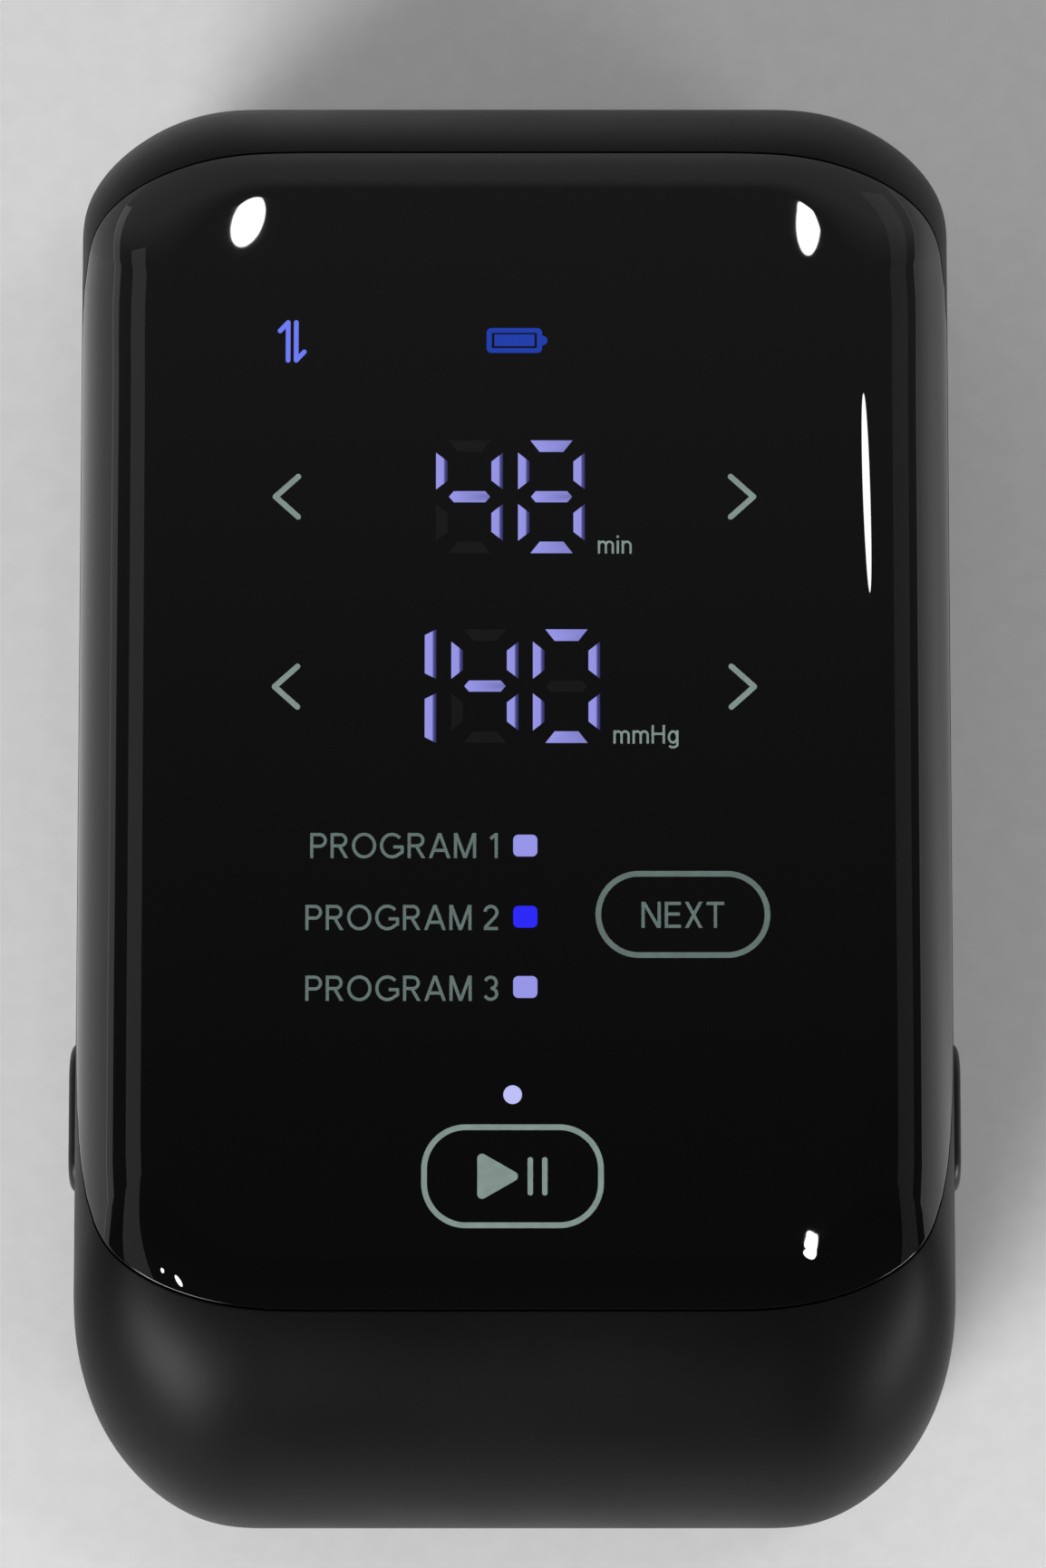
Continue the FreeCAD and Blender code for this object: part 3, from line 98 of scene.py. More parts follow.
VALVE_SPRING_TURNS = 5

# How finely the shells, springs and prints are meshed
SIDE_STEPS = 26
CORNER_STEPS = 34
CORNER_HALVINGS = 24
SEAM_HALVINGS = 26
FACE_RINGS = (0.90, 0.985)
LENS_ROWS = 44
LENS_ROW_POWER = 2.2
HOUSING_ROWS = 44
HOUSING_ROW_POWER = 1.7
PASSAGE_STEPS = 48
EDGE_RADIUS = 0.14
EDGE_SEGMENTS = 3
EDGE_ANGLE = 50.0
COIL_STEPS = 28
WIRE_SIDES = 10
PRINT_THICKNESS = 0.02
WELD_REACH = 0.0005
JOIN_STEPS = 8
END_STEPS = 10
KEY_STEPS = 20
BOWL_STEPS = 60
LIGHT_STEPS = 36
SHARPEST_JOIN = 0.2

# Floor, pale by the lamps near the body and by its own tone far away
FLOOR_REACH = 20.0
FLOOR_OVERLAP = 0.009
FLOOR_NOISE = (400.0, 4.0)
FLOOR_BAND = (0.35, 0.65)
FLOOR_TONES = (0.86, 0.89)
FLOOR_ROUGH = 0.9
FLOOR_SHINE = 0.1
FLOOR_NEAR = 0.45
FLOOR_FAR = 1.3
FLOOR_FAR_TONE = 0.72

# Camera, from the photograph
CAMERA_DISTANCE = 350.0
CAMERA_TILT = 4.5
CAMERA_AIM = (0.76, 1.0, BODY_DEPTH)
CAMERA_LENS = 91.0
CAMERA_SENSOR = 36.0

half_width = BODY_WIDTH / 2
top_end = BODY_LENGTH / 2
low_end = -BODY_LENGTH / 2
roll_depth = BODY_DEPTH - PARTING_HEIGHT
columns = 4 * (SIDE_STEPS + CORNER_STEPS)


def srgb(red, green, blue):
    """A colour given as it shows on screen, 0 to 255, as the linear value that a shader takes."""
    linear = []
    for level in (red, green, blue):
        share = level / 255
        linear.append(share / 12.92 if share <= 0.04045 else ((share + 0.055) / 1.055) ** 2.4)
    return (linear[0], linear[1], linear[2], 1.0)


# Body form

def mix(start, end, share):
    return start + (end - start) * share


def roll(depth, reach, fall, power):
    """How far a rolled edge lies inside its widest line, at a depth below the face."""
    if depth >= fall:
        return 0.0
    rest = 1 - depth / fall
    return reach * (1 - (1 - rest ** power) ** (1 / power))


def roll_depth_at(inset, reach, fall):
    """The depth at which an elliptical roll has come out to a given inset."""
    return fall * (1 - math.sqrt(1 - (1 - inset / reach) ** 2))


def bezier(points, share):
    """A point on the curve that a row of poles pulls, of as high an order as there are poles."""
    order = len(points) - 1
    total = Vector((0.0, 0.0))
    for i, point in enumerate(points):
        total += point * (math.comb(order, i) * share ** i * (1 - share) ** (order - i))
    return total


def outline(half, top, low, top_corner, low_corner):
    """Points round an outline with straight sides and soft corners, always as many."""
    top_w, top_l = top_corner
    low_w, low_l = low_corner
    ends = [
        (-half + low_w, low), (half - low_w, low), (half, low + low_l), (half, top - top_l),
        (half - top_w, top), (-half + top_w, top), (-half, top - top_l), (-half, low + low_l),
    ]
    ends = [Vector(p) for p in ends]
    corners = [Vector(p) for p in ((half, low), (half, top), (-half, top), (-half, low))]
    points = []
    for i, corner in enumerate(corners):
        start = ends[2 * i]
        turn = ends[2 * i + 1]
        after = ends[(2 * i + 2) % 8]
        for step in range(SIDE_STEPS):
            points.append(start.lerp(turn, step / SIDE_STEPS))
        leave = [turn.lerp(corner, pull) for pull in CORNER_PULLS]
        arrive = [after.lerp(corner, pull) for pull in reversed(CORNER_PULLS)]
        poles = leave + arrive
        for step in range(CORNER_STEPS):
            points.append(bezier(poles, step / CORNER_STEPS))
    return points


def body_section(depth):
    """The outline of the body at a depth below its face."""
    side = roll(depth, SIDE_ROLL_WIDTH, SIDE_ROLL_DEPTH, SIDE_ROLL_POWER)
    top = roll(depth, TOP_ROLL_LENGTH, roll_depth, END_ROLL_POWER)
    chin = roll(depth, CHIN_LENGTH, roll_depth, END_ROLL_POWER)
    share = side / SIDE_ROLL_WIDTH
    top_corner = tuple(mix(a, b, share) for a, b in zip(TOP_CORNER, FACE_CORNER))
    low_corner = tuple(mix(a, b, share) for a, b in zip(CHIN_CORNER, FACE_CORNER))
    return outline(half_width - side, top_end - top, low_end + chin, top_corner, low_corner)


def body_point(column, depth):
    """The point of the body in a column of its mesh, at a depth below its face."""
    point = body_section(depth)[column]
    return Vector((point.x, point.y, BODY_DEPTH - depth))


def corner_reach(angle):
    """How far the unit corner curve lies from its centre, in a direction from its side to its end."""
    poles = [Vector(p) for p in ((1, 0), (1, CORNER_FULLNESS), (CORNER_FULLNESS, 1), (0, 1))]
    low, high = 0.0, 1.0
    for _ in range(CORNER_HALVINGS):
        middle = (low + high) / 2
        point = bezier(poles, middle)
        if math.atan2(point.y, point.x) < angle:
            low = middle
        else:
            high = middle
    return bezier(poles, low).length


side_half = half_width - roll(LENS_SIDE_DEPTH, SIDE_ROLL_WIDTH, SIDE_ROLL_DEPTH, SIDE_ROLL_POWER)
side_height = BODY_DEPTH - LENS_SIDE_DEPTH
top_seam = BODY_DEPTH - roll_depth_at(LENS_TOP_MARGIN, TOP_ROLL_LENGTH, roll_depth)
low_seam = BODY_DEPTH - roll_depth_at(LENS_CHIN_MARGIN, CHIN_LENGTH, roll_depth)


def within_lens(point, grow):
    """Whether a point of the body lies inside the flared plug that marks off the lens."""
    half = side_half + SEAM_SIDE_FLARE * (point.z - side_height) + grow
    if point.y > 0:
        rise = point.z - top_seam
        end = top_end - LENS_TOP_MARGIN + SEAM_END_FLARE * rise + grow
        wide, long = LENS_TOP_CORNER
    else:
        rise = point.z - low_seam
        end = -low_end - LENS_CHIN_MARGIN + SEAM_END_FLARE * rise + grow
        wide, long = LENS_LOW_CORNER
    wide += SEAM_SIDE_FLARE * rise + grow
    long += SEAM_END_FLARE * rise + grow
    if abs(point.x) > half or abs(point.y) > end:
        return False
    across = (abs(point.x) - half + wide) / wide
    along = (abs(point.y) - end + long) / long
    if across <= 0 or along <= 0:
        return True
    return math.hypot(across, along) <= corner_reach(math.atan2(along, across))


def seam_depths(grow):
    """The depth of the seam in each column of the body's mesh."""
    depths = []
    for column in range(columns):
        low, high = 0.0, roll_depth
        for _ in range(SEAM_HALVINGS):
            middle = (low + high) / 2
            if within_lens(body_point(column, middle), grow):
                low = middle
            else:
                high = middle
        depths.append(low)
    return depths


# Mesh helpers

def add_piece(name, points, faces):
    """A mesh piece from points in millimetres, riding on the housing."""
    mesh = bpy.data.meshes.new(name)
    mesh.from_pydata([Vector(p) * MM for p in points], [], faces)
    mesh.validate()
    piece = bpy.data.objects.new(name, mesh)
    bpy.context.scene.collection.objects.link(piece)
    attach(piece, "housing")
    return piece


def smooth(piece):
    for face in piece.data.polygons:
        face.use_smooth = True


def paint(piece, material):
    piece.data.materials.clear()
    piece.data.materials.append(material)


def apply_modifiers(piece):
    """Replaces the mesh by the one that its modifiers give."""
    graph = bpy.context.evaluated_depsgraph_get()
    mesh = bpy.data.meshes.new_from_object(piece.evaluated_get(graph))
    old = piece.data
    piece.modifiers.clear()
    piece.data = mesh
    bpy.data.meshes.remove(old)


def thicken(piece, thickness):
    """Gives a surface a wall on its inner side."""
    shell = piece.modifiers.new("wall", "SOLIDIFY")
    shell.thickness = thickness * MM
    shell.offset = -1.0


def soften_edges(piece):
    edge = piece.modifiers.new("edge", "BEVEL")
    edge.width = EDGE_RADIUS * MM
    edge.segments = EDGE_SEGMENTS
    edge.limit_method = "ANGLE"
    edge.angle_limit = math.radians(EDGE_ANGLE)


def grid_faces(rows, around):
    """Faces between rows of points, each of which closes on itself."""
    faces = []
    for row in range(rows - 1):
        for step in range(around):
            a = row * around + step
            b = row * around + (step + 1) % around
            faces.append((a, a + around, b + around, b))
    return faces


# Shells

def make_lens():
    depths = seam_depths(0.0)
    middle = Vector((0.0, (top_end - TOP_ROLL_LENGTH + low_end + CHIN_LENGTH) / 2, BODY_DEPTH))
    rim = [body_point(column, 0.0) for column in range(columns)]
    points = []
    for inset in FACE_RINGS:
        points += [middle.lerp(p, inset) for p in rim]
    for row in range(LENS_ROWS + 1):
        share = (row / LENS_ROWS) ** LENS_ROW_POWER
        points += [body_point(column, depths[column] * share) for column in range(columns)]
    faces = grid_faces(len(FACE_RINGS) + LENS_ROWS + 1, columns)
    faces.append(tuple(range(columns)))
    lens = add_piece("lens_shell", points, faces)
    smooth(lens)
    thicken(lens, LENS_THICKNESS - LENS_BACK_ROOM)
    soften_edges(lens)
    apply_modifiers(lens)
    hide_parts("front_lens")
    return lens


def button_passage(name, side):
    """A rounded block along X, which cuts the passage of a side button."""
    long = BUTTON_LENGTH / 2 + BUTTON_CLEARANCE
    tall = BUTTON_TALL / 2 + BUTTON_CLEARANCE
    loop = []
    for step in range(PASSAGE_STEPS):
        angle = 2 * math.pi * step / PASSAGE_STEPS
        shift = long - tall if math.cos(angle) >= 0 else tall - long
        loop.append((BUTTON_Y + shift + tall * math.cos(angle), BUTTON_HEIGHT_UP + tall * math.sin(angle)))
    points = []
    for x in (side * half_width + PASSAGE_REACH, side * half_width - PASSAGE_REACH):
        points += [(x, y, z) for y, z in loop]
    faces = grid_faces(2, PASSAGE_STEPS)
    faces.append(tuple(range(PASSAGE_STEPS)))
    faces.append(tuple(range(2 * PASSAGE_STEPS - 1, PASSAGE_STEPS - 1, -1)))
    return add_piece(name, points, faces)


def make_front_shell():
    depths = seam_depths(SEAM_GAP)
    points = []
    for row in range(HOUSING_ROWS + 1):
        share = (row / HOUSING_ROWS) ** HOUSING_ROW_POWER
        points += [body_point(column, mix(depths[column], roll_depth, share)) for column in range(columns)]
    shell = add_piece("front_shell", points, grid_faces(HOUSING_ROWS + 1, columns))
    smooth(shell)
    thicken(shell, WALL)
    soften_edges(shell)
    apply_modifiers(shell)
    cutters = [button_passage("passage_left", -1), button_passage("passage_right", 1)]
    for cutter in cutters:
        hole = shell.modifiers.new("passage", "BOOLEAN")
        hole.operation = "DIFFERENCE"
        hole.solver = "EXACT"
        hole.object = cutter
    apply_modifiers(shell)
    for cutter in cutters:
        bpy.data.objects.remove(cutter)
    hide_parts("front_housing")
    return shell


lens_piece = make_lens()
shell_piece = make_front_shell()


# Materials

# Grain and mottling of moulded surfaces. A noise is given by its scale and its detail
GRAIN_NOISE = (2600.0, 2.0)
GRAIN_DEPTH = 0.00004
MOTTLE_NOISE = (60.0, 3.0)
MOTTLE_BAND = (0.3, 0.7)
MOTTLE_SHADE = 0.85
MOTTLE_GLOSS = 0.04

# Colour, handling marks and polish of the lens, and the grain of its inks
LENS_COLOUR = srgb(5, 5, 6)
LENS_SHINE = 0.5
WELL_COLOUR = srgb(6, 6, 8)
MARKS_NOISE = (45.0, 4.0)
MARKS_BAND = (0.35, 0.75)
MARKS_GLOSS = (0.006, 0.016)
PRINT_GLOSS = 0.05
INK_NOISE = (900.0, 2.0)
INK_BAND = (0.35, 0.65)
INK_SHADE = 0.88


def new_material(name):
    material = bpy.data.materials.new(name)
    material.use_nodes = True
    return material, material.node_tree, material.node_tree.nodes["Principled BSDF"]


def noise(tree, place, scale, detail):
    """A grey texture in the part's own coordinates."""
    texture = tree.nodes.new("ShaderNodeTexNoise")
    texture.inputs["Scale"].default_value = scale
    texture.inputs["Detail"].default_value = detail
    tree.links.new(place.outputs["Object"], texture.inputs["Vector"])
    return texture.outputs["Fac"]


def ramp(tree, source, low, high, start=0.0, end=1.0):
    """Turns a grey texture into a band between two colours."""
    node = tree.nodes.new("ShaderNodeValToRGB")
    node.color_ramp.elements[0].position = start
    node.color_ramp.elements[1].position = end
    node.color_ramp.elements[0].color = low
    node.color_ramp.elements[1].color = high
    tree.links.new(source, node.inputs["Fac"])
    return node.outputs["Color"]


def grey(level):
    return (level, level, level, 1.0)


def shaded(colour, share):
    """A colour with a share of its light."""
    return tuple(c * share for c in colour[:3]) + (1.0,)


def moulded(name, colour, rough, grain, metal=0.0, shine=0.5):
    """A moulded or plated surface with a fine grain and slightly uneven gloss."""
    material, tree, shader = new_material(name)
    place = tree.nodes.new("ShaderNodeTexCoord")
    shader.inputs["Metallic"].default_value = metal
    shader.inputs["Specular IOR Level"].default_value = shine
    fine = noise(tree, place, *GRAIN_NOISE)
    broad = noise(tree, place, *MOTTLE_NOISE)
    tint = ramp(tree, broad, shaded(colour, MOTTLE_SHADE), colour, *MOTTLE_BAND)
    tree.links.new(tint, shader.inputs["Base Color"])
    gloss = ramp(tree, broad, grey(rough - MOTTLE_GLOSS), grey(rough + MOTTLE_GLOSS), *MOTTLE_BAND)
    tree.links.new(gloss, shader.inputs["Roughness"])
    bump = tree.nodes.new("ShaderNodeBump")
    bump.inputs["Strength"].default_value = grain
    bump.inputs["Distance"].default_value = GRAIN_DEPTH
    tree.links.new(fine, bump.inputs["Height"])
    tree.links.new(bump.outputs["Normal"], shader.inputs["Normal"])
    return material


def gloss_black(name):
    """The lens: deep black under a polished face, with faint handling marks in its gloss."""
    material, tree, shader = new_material(name)
    place = tree.nodes.new("ShaderNodeTexCoord")
    marks = noise(tree, place, *MARKS_NOISE)
    shader.inputs["Base Color"].default_value = LENS_COLOUR
    shader.inputs["Specular IOR Level"].default_value = LENS_SHINE
    polished, touched = MARKS_GLOSS
    gloss = ramp(tree, marks, grey(polished), grey(touched), *MARKS_BAND)
    tree.links.new(gloss, shader.inputs["Roughness"])
    return material


def printed(name, colour):
    """Ink behind the lens: its own colour under the same polish."""
    material, tree, shader = new_material(name)
    place = tree.nodes.new("ShaderNodeTexCoord")
    grain = noise(tree, place, *INK_NOISE)
    tint = ramp(tree, grain, shaded(colour, INK_SHADE), colour, *INK_BAND)
    tree.links.new(tint, shader.inputs["Base Color"])
    shader.inputs["Roughness"].default_value = PRINT_GLOSS
    return material


def lit(name, colour, painted_shade):
    """A light behind the lens, whose glow goes from its colour into a painted shade towards the side where
    its well's wall shows.
    """
    material, tree, shader = new_material(name)
    shader.inputs["Base Color"].default_value = WELL_COLOUR
    shader.inputs["Roughness"].default_value = PRINT_GLOSS
    painted_well_shade = tree.nodes.new("ShaderNodeAttribute")
    painted_well_shade.attribute_name = "painted_well_shade"
    glow = ramp(tree, painted_well_shade.outputs["Fac"], colour, painted_shade)
    tree.links.new(glow, shader.inputs["Emission Color"])
    shader.inputs["Emission Strength"].default_value = 1.0
    return material


lens_gloss = gloss_black("lens_gloss")
shell_matte = moulded("shell_matte", srgb(12, 12, 13), 0.42, 0.25, 0.0, 0.09)
paint(lens_piece, lens_gloss)
paint(shell_piece, shell_matte)


# Printed marks and lights on the lens

def runs_left(polygon):
    """Whether a polygon's points run anticlockwise."""
    turn = 0.0
    for (x0, y0), (x1, y1) in zip(polygon, polygon[1:] + polygon[:1]):
        turn += x0 * y1 - x1 * y0
    return turn > 0


def flat_piece(name, polygons, material, well_shades=None, lifts=None):
    """Flat marks on the face, as thin closed solids. A polygon is a list of (x, y).

    The painted shade of each point comes with the wells, and lifts raise each polygon a little.
    """
    points = []
    faces = []
    for i, polygon in enumerate(polygons):
        first = len(points)
        height = BODY_DEPTH + PRINT_THICKNESS + (lifts[i] if lifts else 0.0)
        points += [(x, y, height) for x, y in polygon]
        face = tuple(range(first, len(points)))
        faces.append(face if runs_left(polygon) else face[::-1])
    piece = add_piece(name, points, faces)
    if well_shades:
        # Each point's share of painted shade, which the lit material turns into a darker glow
        layer = piece.data.attributes.new("painted_well_shade", "FLOAT", "POINT")
        layer.data.foreach_set("value", [v for polygon in well_shades for v in polygon])
    shared = piece.modifiers.new("shared_edges", "WELD")
    shared.merge_threshold = WELD_REACH * MM
    thicken(piece, PRINT_THICKNESS)
    apply_modifiers(piece)
    paint(piece, material)


def lit_piece(name, polygons, material):
    """Marks that light evenly, with no side in shade."""
    flat_piece(name, polygons, material, [[0.0] * len(polygon) for polygon in polygons])


def arc(cx, cy, radius, start, end, steps, up=None):
    """Points along part of a circle, or of an ellipse with its own height."""
    points = []
    for step in range(steps + 1):
        angle = math.radians(mix(start, end, step / steps))
        points.append((cx + radius * math.cos(angle), cy + (up or radius) * math.sin(angle)))
    return points


def oval(cx, cy, across, up, count):
    """Points round a whole ellipse, given by its half width and half height."""
    return arc(cx, cy, across, 0, 360 - 360 / count, count - 1, up)


def rounded_box(cx, cy, wide, tall, radius, steps=12):
    """Points round a box with round corners."""
    x, y = wide / 2 - radius, tall / 2 - radius
    points = []
    for sx, sy, start in ((1, 1, 0), (-1, 1, 90), (-1, -1, 180), (1, -1, 270)):
        points += arc(cx + sx * x, cy + sy * y, radius, start, start + 90, steps)
    return points


def ring(outer, inner):
    """Quads between two loops with as many points."""
    count = len(outer)
    return [[outer[i], outer[(i + 1) % count], inner[(i + 1) % count], inner[i]] for i in range(count)]


def stroke(points, width, round_ends=True):
    """The outline of a pen stroke along a line of points, with round joins and round or square ends."""
    pen = width / 2
    line = [Vector(p) for p in points]
    headings = [(b - a).normalized() for a, b in zip(line, line[1:])]

    def side_points(line, headings):
        """The points on the left of the line, and round its end."""
        edge = []
        for i, heading in enumerate(headings):
            left = Vector((-heading.y, heading.x)) * pen
            if i and headings[i - 1].cross(heading) > 0:
                half = (headings[i - 1] + heading).normalized()
                across = Vector((-half.y, half.x))
                edge.append(line[i] + across * (pen / max(SHARPEST_JOIN, across.dot(left) / pen)))
            elif i:
                before = Vector((-headings[i - 1].y, headings[i - 1].x))
                start = math.degrees(math.atan2(before.y, before.x))
                turn = math.degrees(headings[i - 1].angle_signed(heading))
                edge += [Vector(p) for p in arc(line[i].x, line[i].y, pen, start, start - turn, JOIN_STEPS)]
            else:
                edge.append(line[i] + left)
        heading = headings[-1]
        if round_ends:
            start = math.degrees(math.atan2(heading.x, -heading.y))
            edge += [Vector(p) for p in arc(line[-1].x, line[-1].y, pen, start, start - 180, END_STEPS)]
            return edge[1:]
        edge.append(line[-1] + Vector((-heading.y, heading.x)) * pen)
        return edge

    forward = side_points(line, headings)
    backward = side_points(line[::-1], [-h for h in headings[::-1]])
    return [(p.x, p.y) for p in forward + backward]


ink = printed("ink", srgb(147, 166, 161))
ink_dim = printed("ink_dim", srgb(112, 130, 126))
# The second colour of each light is the painted shade of its well's wall.
lavender = lit("lavender", srgb(150, 149, 230), srgb(34, 34, 92))
royal_blue = lit("royal_blue", srgb(42, 37, 246), srgb(20, 18, 120))
icon_blue = lit("icon_blue", srgb(24, 58, 168), srgb(16, 30, 90))
icon_violet = lit("icon_violet", srgb(108, 122, 240), srgb(30, 34, 90))
start_glow = lit("start_glow", srgb(190, 190, 248), srgb(60, 60, 120))
unlit = printed("unlit", srgb(21, 21, 22))

# Seven-segment digits: their size, their bars, and the painted shade on a bar's right side and edges, where
# the wall of its well shows
DIGIT_HEIGHT = 10.1
DIGIT_WIDTH = 5.95
BAR = 1.03
BAR_LONG = 3.74
BAR_SHORT = 2.1
POST_LONG = 3.3
POST_SHORT = 1.7
POST_OFFSET = 2.30
MIDDLE_LONG = 3.66
MIDDLE_POINT = 0.42 * BAR
MIDDLE_HALF = 0.48 * BAR
SLICES = (0.0, 0.64, 0.74, 1.0)
SLICE_PAINTED_SHADES = (0.0, 0.05, 0.80, 1.0)
LEVEL_PAINTED_SHADES = (0.0, 0.3, 0.3, 0.0)
MIDDLE_PAINTED_SHADES = (0.0, 0.0, 0.15, 0.5, 0.15, 0.0)

# The two numbers: each digit's middle, and the bars of the leading 1
TIME_Y = 26.59
PRESSURE_Y = 9.69
DIGITS = (("4", -3.99, TIME_Y), ("8", 3.29, TIME_Y), ("4", -2.61, PRESSURE_Y), ("0", 4.61, PRESSURE_Y))
FIGURES = {"0": "abcdef", "4": "bcfg", "8": "abcdefg"}
ONE_X = -7.42
ONE_OFFSET = 2.84
ONE_LONG = 4.42
ONE_SHORT = 3.4


def upright(cx, cy, outer_right, long, short):
    """A vertical bar in slices, so that its right side can carry a painted shade."""
    polygons = []
    well_shades = []
    for i in range(len(SLICES) - 1):
        corners = []
        for share in (SLICES[i], SLICES[i + 1]):
            inward = 1 - share if outer_right else share
            reach = mix(long, short, inward) / 2
            corners.append((cx - BAR / 2 + BAR * share, reach))
        (x0, r0), (x1, r1) = corners
        polygons.append([(x0, cy - r0), (x1, cy - r1), (x1, cy + r1), (x0, cy + r0)])
        w0, w1 = SLICE_PAINTED_SHADES[i], SLICE_PAINTED_SHADES[i + 1]
        well_shades.append([w0, w1, w1, w0])
    return polygons, well_shades


def level_bar(cx, cy, top, low):
    """A horizontal bar whose upper and lower edges differ in length, with painted shade along its upper
    edge.
    """
    polygon = [(cx - low / 2, cy - BAR / 2), (cx + low / 2, cy - BAR / 2),
               (cx + top / 2, cy + BAR / 2), (cx - top / 2, cy + BAR / 2)]
    return [polygon], [LEVEL_PAINTED_SHADES]


def middle_bar(cx, cy):
    """A horizontal bar with pointed ends, with painted shade towards its right tip."""
    tip = MIDDLE_LONG / 2
    neck = tip - MIDDLE_POINT
    polygon = [(cx - tip, cy), (cx - neck, cy - MIDDLE_HALF), (cx + neck, cy - MIDDLE_HALF),
               (cx + tip, cy), (cx + neck, cy + MIDDLE_HALF), (cx - neck, cy + MIDDLE_HALF)]
    return [polygon], [MIDDLE_PAINTED_SHADES]


def digit_bars(cx, cy):
    """The seven bars of a digit, by their usual letters."""
    side = (DIGIT_WIDTH - BAR) / 2
    end = (DIGIT_HEIGHT - BAR) / 2
    return {
        "a": level_bar(cx, cy + end, BAR_LONG, BAR_SHORT),
        "d": level_bar(cx, cy - end, BAR_SHORT, BAR_LONG),
        "g": middle_bar(cx, cy),
        "f": upright(cx - side, cy + POST_OFFSET, False, POST_LONG, POST_SHORT),
        "e": upright(cx - side, cy - POST_OFFSET, False, POST_LONG, POST_SHORT),
        "b": upright(cx + side, cy + POST_OFFSET, True, POST_LONG, POST_SHORT),
        "c": upright(cx + side, cy - POST_OFFSET, True, POST_LONG, POST_SHORT),
    }


def make_digits():
    lit_polygons, lit_well_shades, dark_polygons = [], [], []
    for figure, cx, cy in DIGITS:
        for letter, (polygons, well_shades) in digit_bars(cx, cy).items():
            if letter in FIGURES[figure]:
                lit_polygons += polygons
                lit_well_shades += well_shades
            else:
                dark_polygons += polygons
    for rise in (-1, 1):
        polygons, well_shades = upright(ONE_X, PRESSURE_Y + rise * ONE_OFFSET, True, ONE_LONG, ONE_SHORT)
        lit_polygons += polygons
        lit_well_shades += well_shades
    flat_piece("lit_digits", lit_polygons, lavender, lit_well_shades)
    flat_piece("unlit_digits", dark_polygons, unlit)


# Icons: the pair of arrows by its middle, one arrow's line and its pen, and the battery by its middle,
# its boxes with their widths, heights and corners, and the nub at its end
SYNC_X, SYNC_Y = -19.80, 40.55
SYNC_LINE = ((-0.36, -1.70), (-0.36, 1.70), (-1.08, 0.95))
SYNC_PEN = 0.42
BATTERY_X, BATTERY_Y = -0.01, 40.63
BATTERY_OUTER = (4.94, 2.24, 0.42)
BATTERY_INNER = (4.02, 1.38, 0.10)
CHARGE = (3.58, 1.06, 0.08)
CHARGE_RIGHT, CHARGE_UP = 0.01, 0.02
NUB_X = 2.47
NUB_HALF = 0.47
NUB_CENTRE = 2.52
NUB_RADIUS = 0.42
NUB_TURN = 70
NUB_STEPS = 8

# Keys: the chevrons, the outlines of the two framed keys by middle, width, height and corner, and the sign
# in one of them. Its triangle's corners are given by place, rise and the angle at which an arc starts
CHEVRON_ROWS = (26.59, 9.64)
CHEVRON_TIP = 21.22
CHEVRON_BACK = 19.20
CHEVRON_HALF = 1.80
CHEVRON_PEN = 0.50
KEY_LINE = 0.50
SELECT_KEY = (14.84, -10.52, 15.4, 7.66, 3.82)
START_KEY = (-0.16, -33.47, 16.0, 9.05, 3.9)
SIGN_Y = -33.48
SIGN_CORNERS = ((-2.83, -1.55, 180), (-0.10, 0.0, -60), (-2.83, 1.55, 60))
SIGN_RADIUS = 0.42
SIGN_STEPS = 8
SIGN_BAR = (0.47, 3.34, 0.20)
SIGN_BAR_STEPS = 5
SIGN_BARS = (1.40, 2.67)

# Lights, and the words beside them
LIGHT_X = 0.96
LIGHT_ROWS = (-4.45, -10.73, -16.91)
LIGHT_BOX = (2.13, 1.92, 0.46)
START_LIGHT = (-0.15, -26.35)
START_LIGHT_RADIUS = 0.82
LABEL_RIGHT = -1.40
LABEL_ROWS = (-4.45, -10.79, -17.02)
LABEL_HEIGHT = 2.22


def make_icons():
    arrows = []
    for half_turn in (1, -1):
        line = [(SYNC_X + half_turn * x, SYNC_Y + half_turn * y) for x, y in SYNC_LINE]
        arrows.append(stroke(line, SYNC_PEN))
    lit_piece("sync_icon", arrows, icon_violet)
    outer = rounded_box(BATTERY_X, BATTERY_Y, *BATTERY_OUTER)
    inner = rounded_box(BATTERY_X, BATTERY_Y, *BATTERY_INNER)
    nub = [(NUB_X, BATTERY_Y - NUB_HALF)]
    nub += arc(NUB_CENTRE, BATTERY_Y, NUB_RADIUS, -NUB_TURN, NUB_TURN, NUB_STEPS)
    nub.append((NUB_X, BATTERY_Y + NUB_HALF))
    charge = rounded_box(BATTERY_X + CHARGE_RIGHT, BATTERY_Y + CHARGE_UP, *CHARGE)
    lit_piece("battery_icon", ring(outer, inner) + [nub, charge], icon_blue)


def key_outline(cx, cy, wide, tall, radius):
    """The line round a framed key."""
    outer = rounded_box(cx, cy, wide, tall, radius, KEY_STEPS)
    inner = rounded_box(cx, cy, wide - 2 * KEY_LINE, tall - 2 * KEY_LINE, radius - KEY_LINE, KEY_STEPS)
    return ring(outer, inner)


def make_keys():
    chevrons = []
    for y in CHEVRON_ROWS:
        for side in (-1, 1):
            tip = side * CHEVRON_TIP
            back = side * CHEVRON_BACK
            line = [(back, y - CHEVRON_HALF), (tip, y), (back, y + CHEVRON_HALF)]
            chevrons.append(stroke(line, CHEVRON_PEN))
    flat_piece("step_keys", chevrons, ink)
    flat_piece("select_key_ring", key_outline(*SELECT_KEY), ink_dim)
    flat_piece("start_key_ring", key_outline(*START_KEY), ink)
    triangle = []
    for x, rise, start in SIGN_CORNERS:
        triangle += arc(x, SIGN_Y + rise, SIGN_RADIUS, start, start + 120, SIGN_STEPS)
    bars = [rounded_box(x, SIGN_Y, *SIGN_BAR, SIGN_BAR_STEPS) for x in SIGN_BARS]
    flat_piece("start_key_sign", [triangle] + bars, ink)


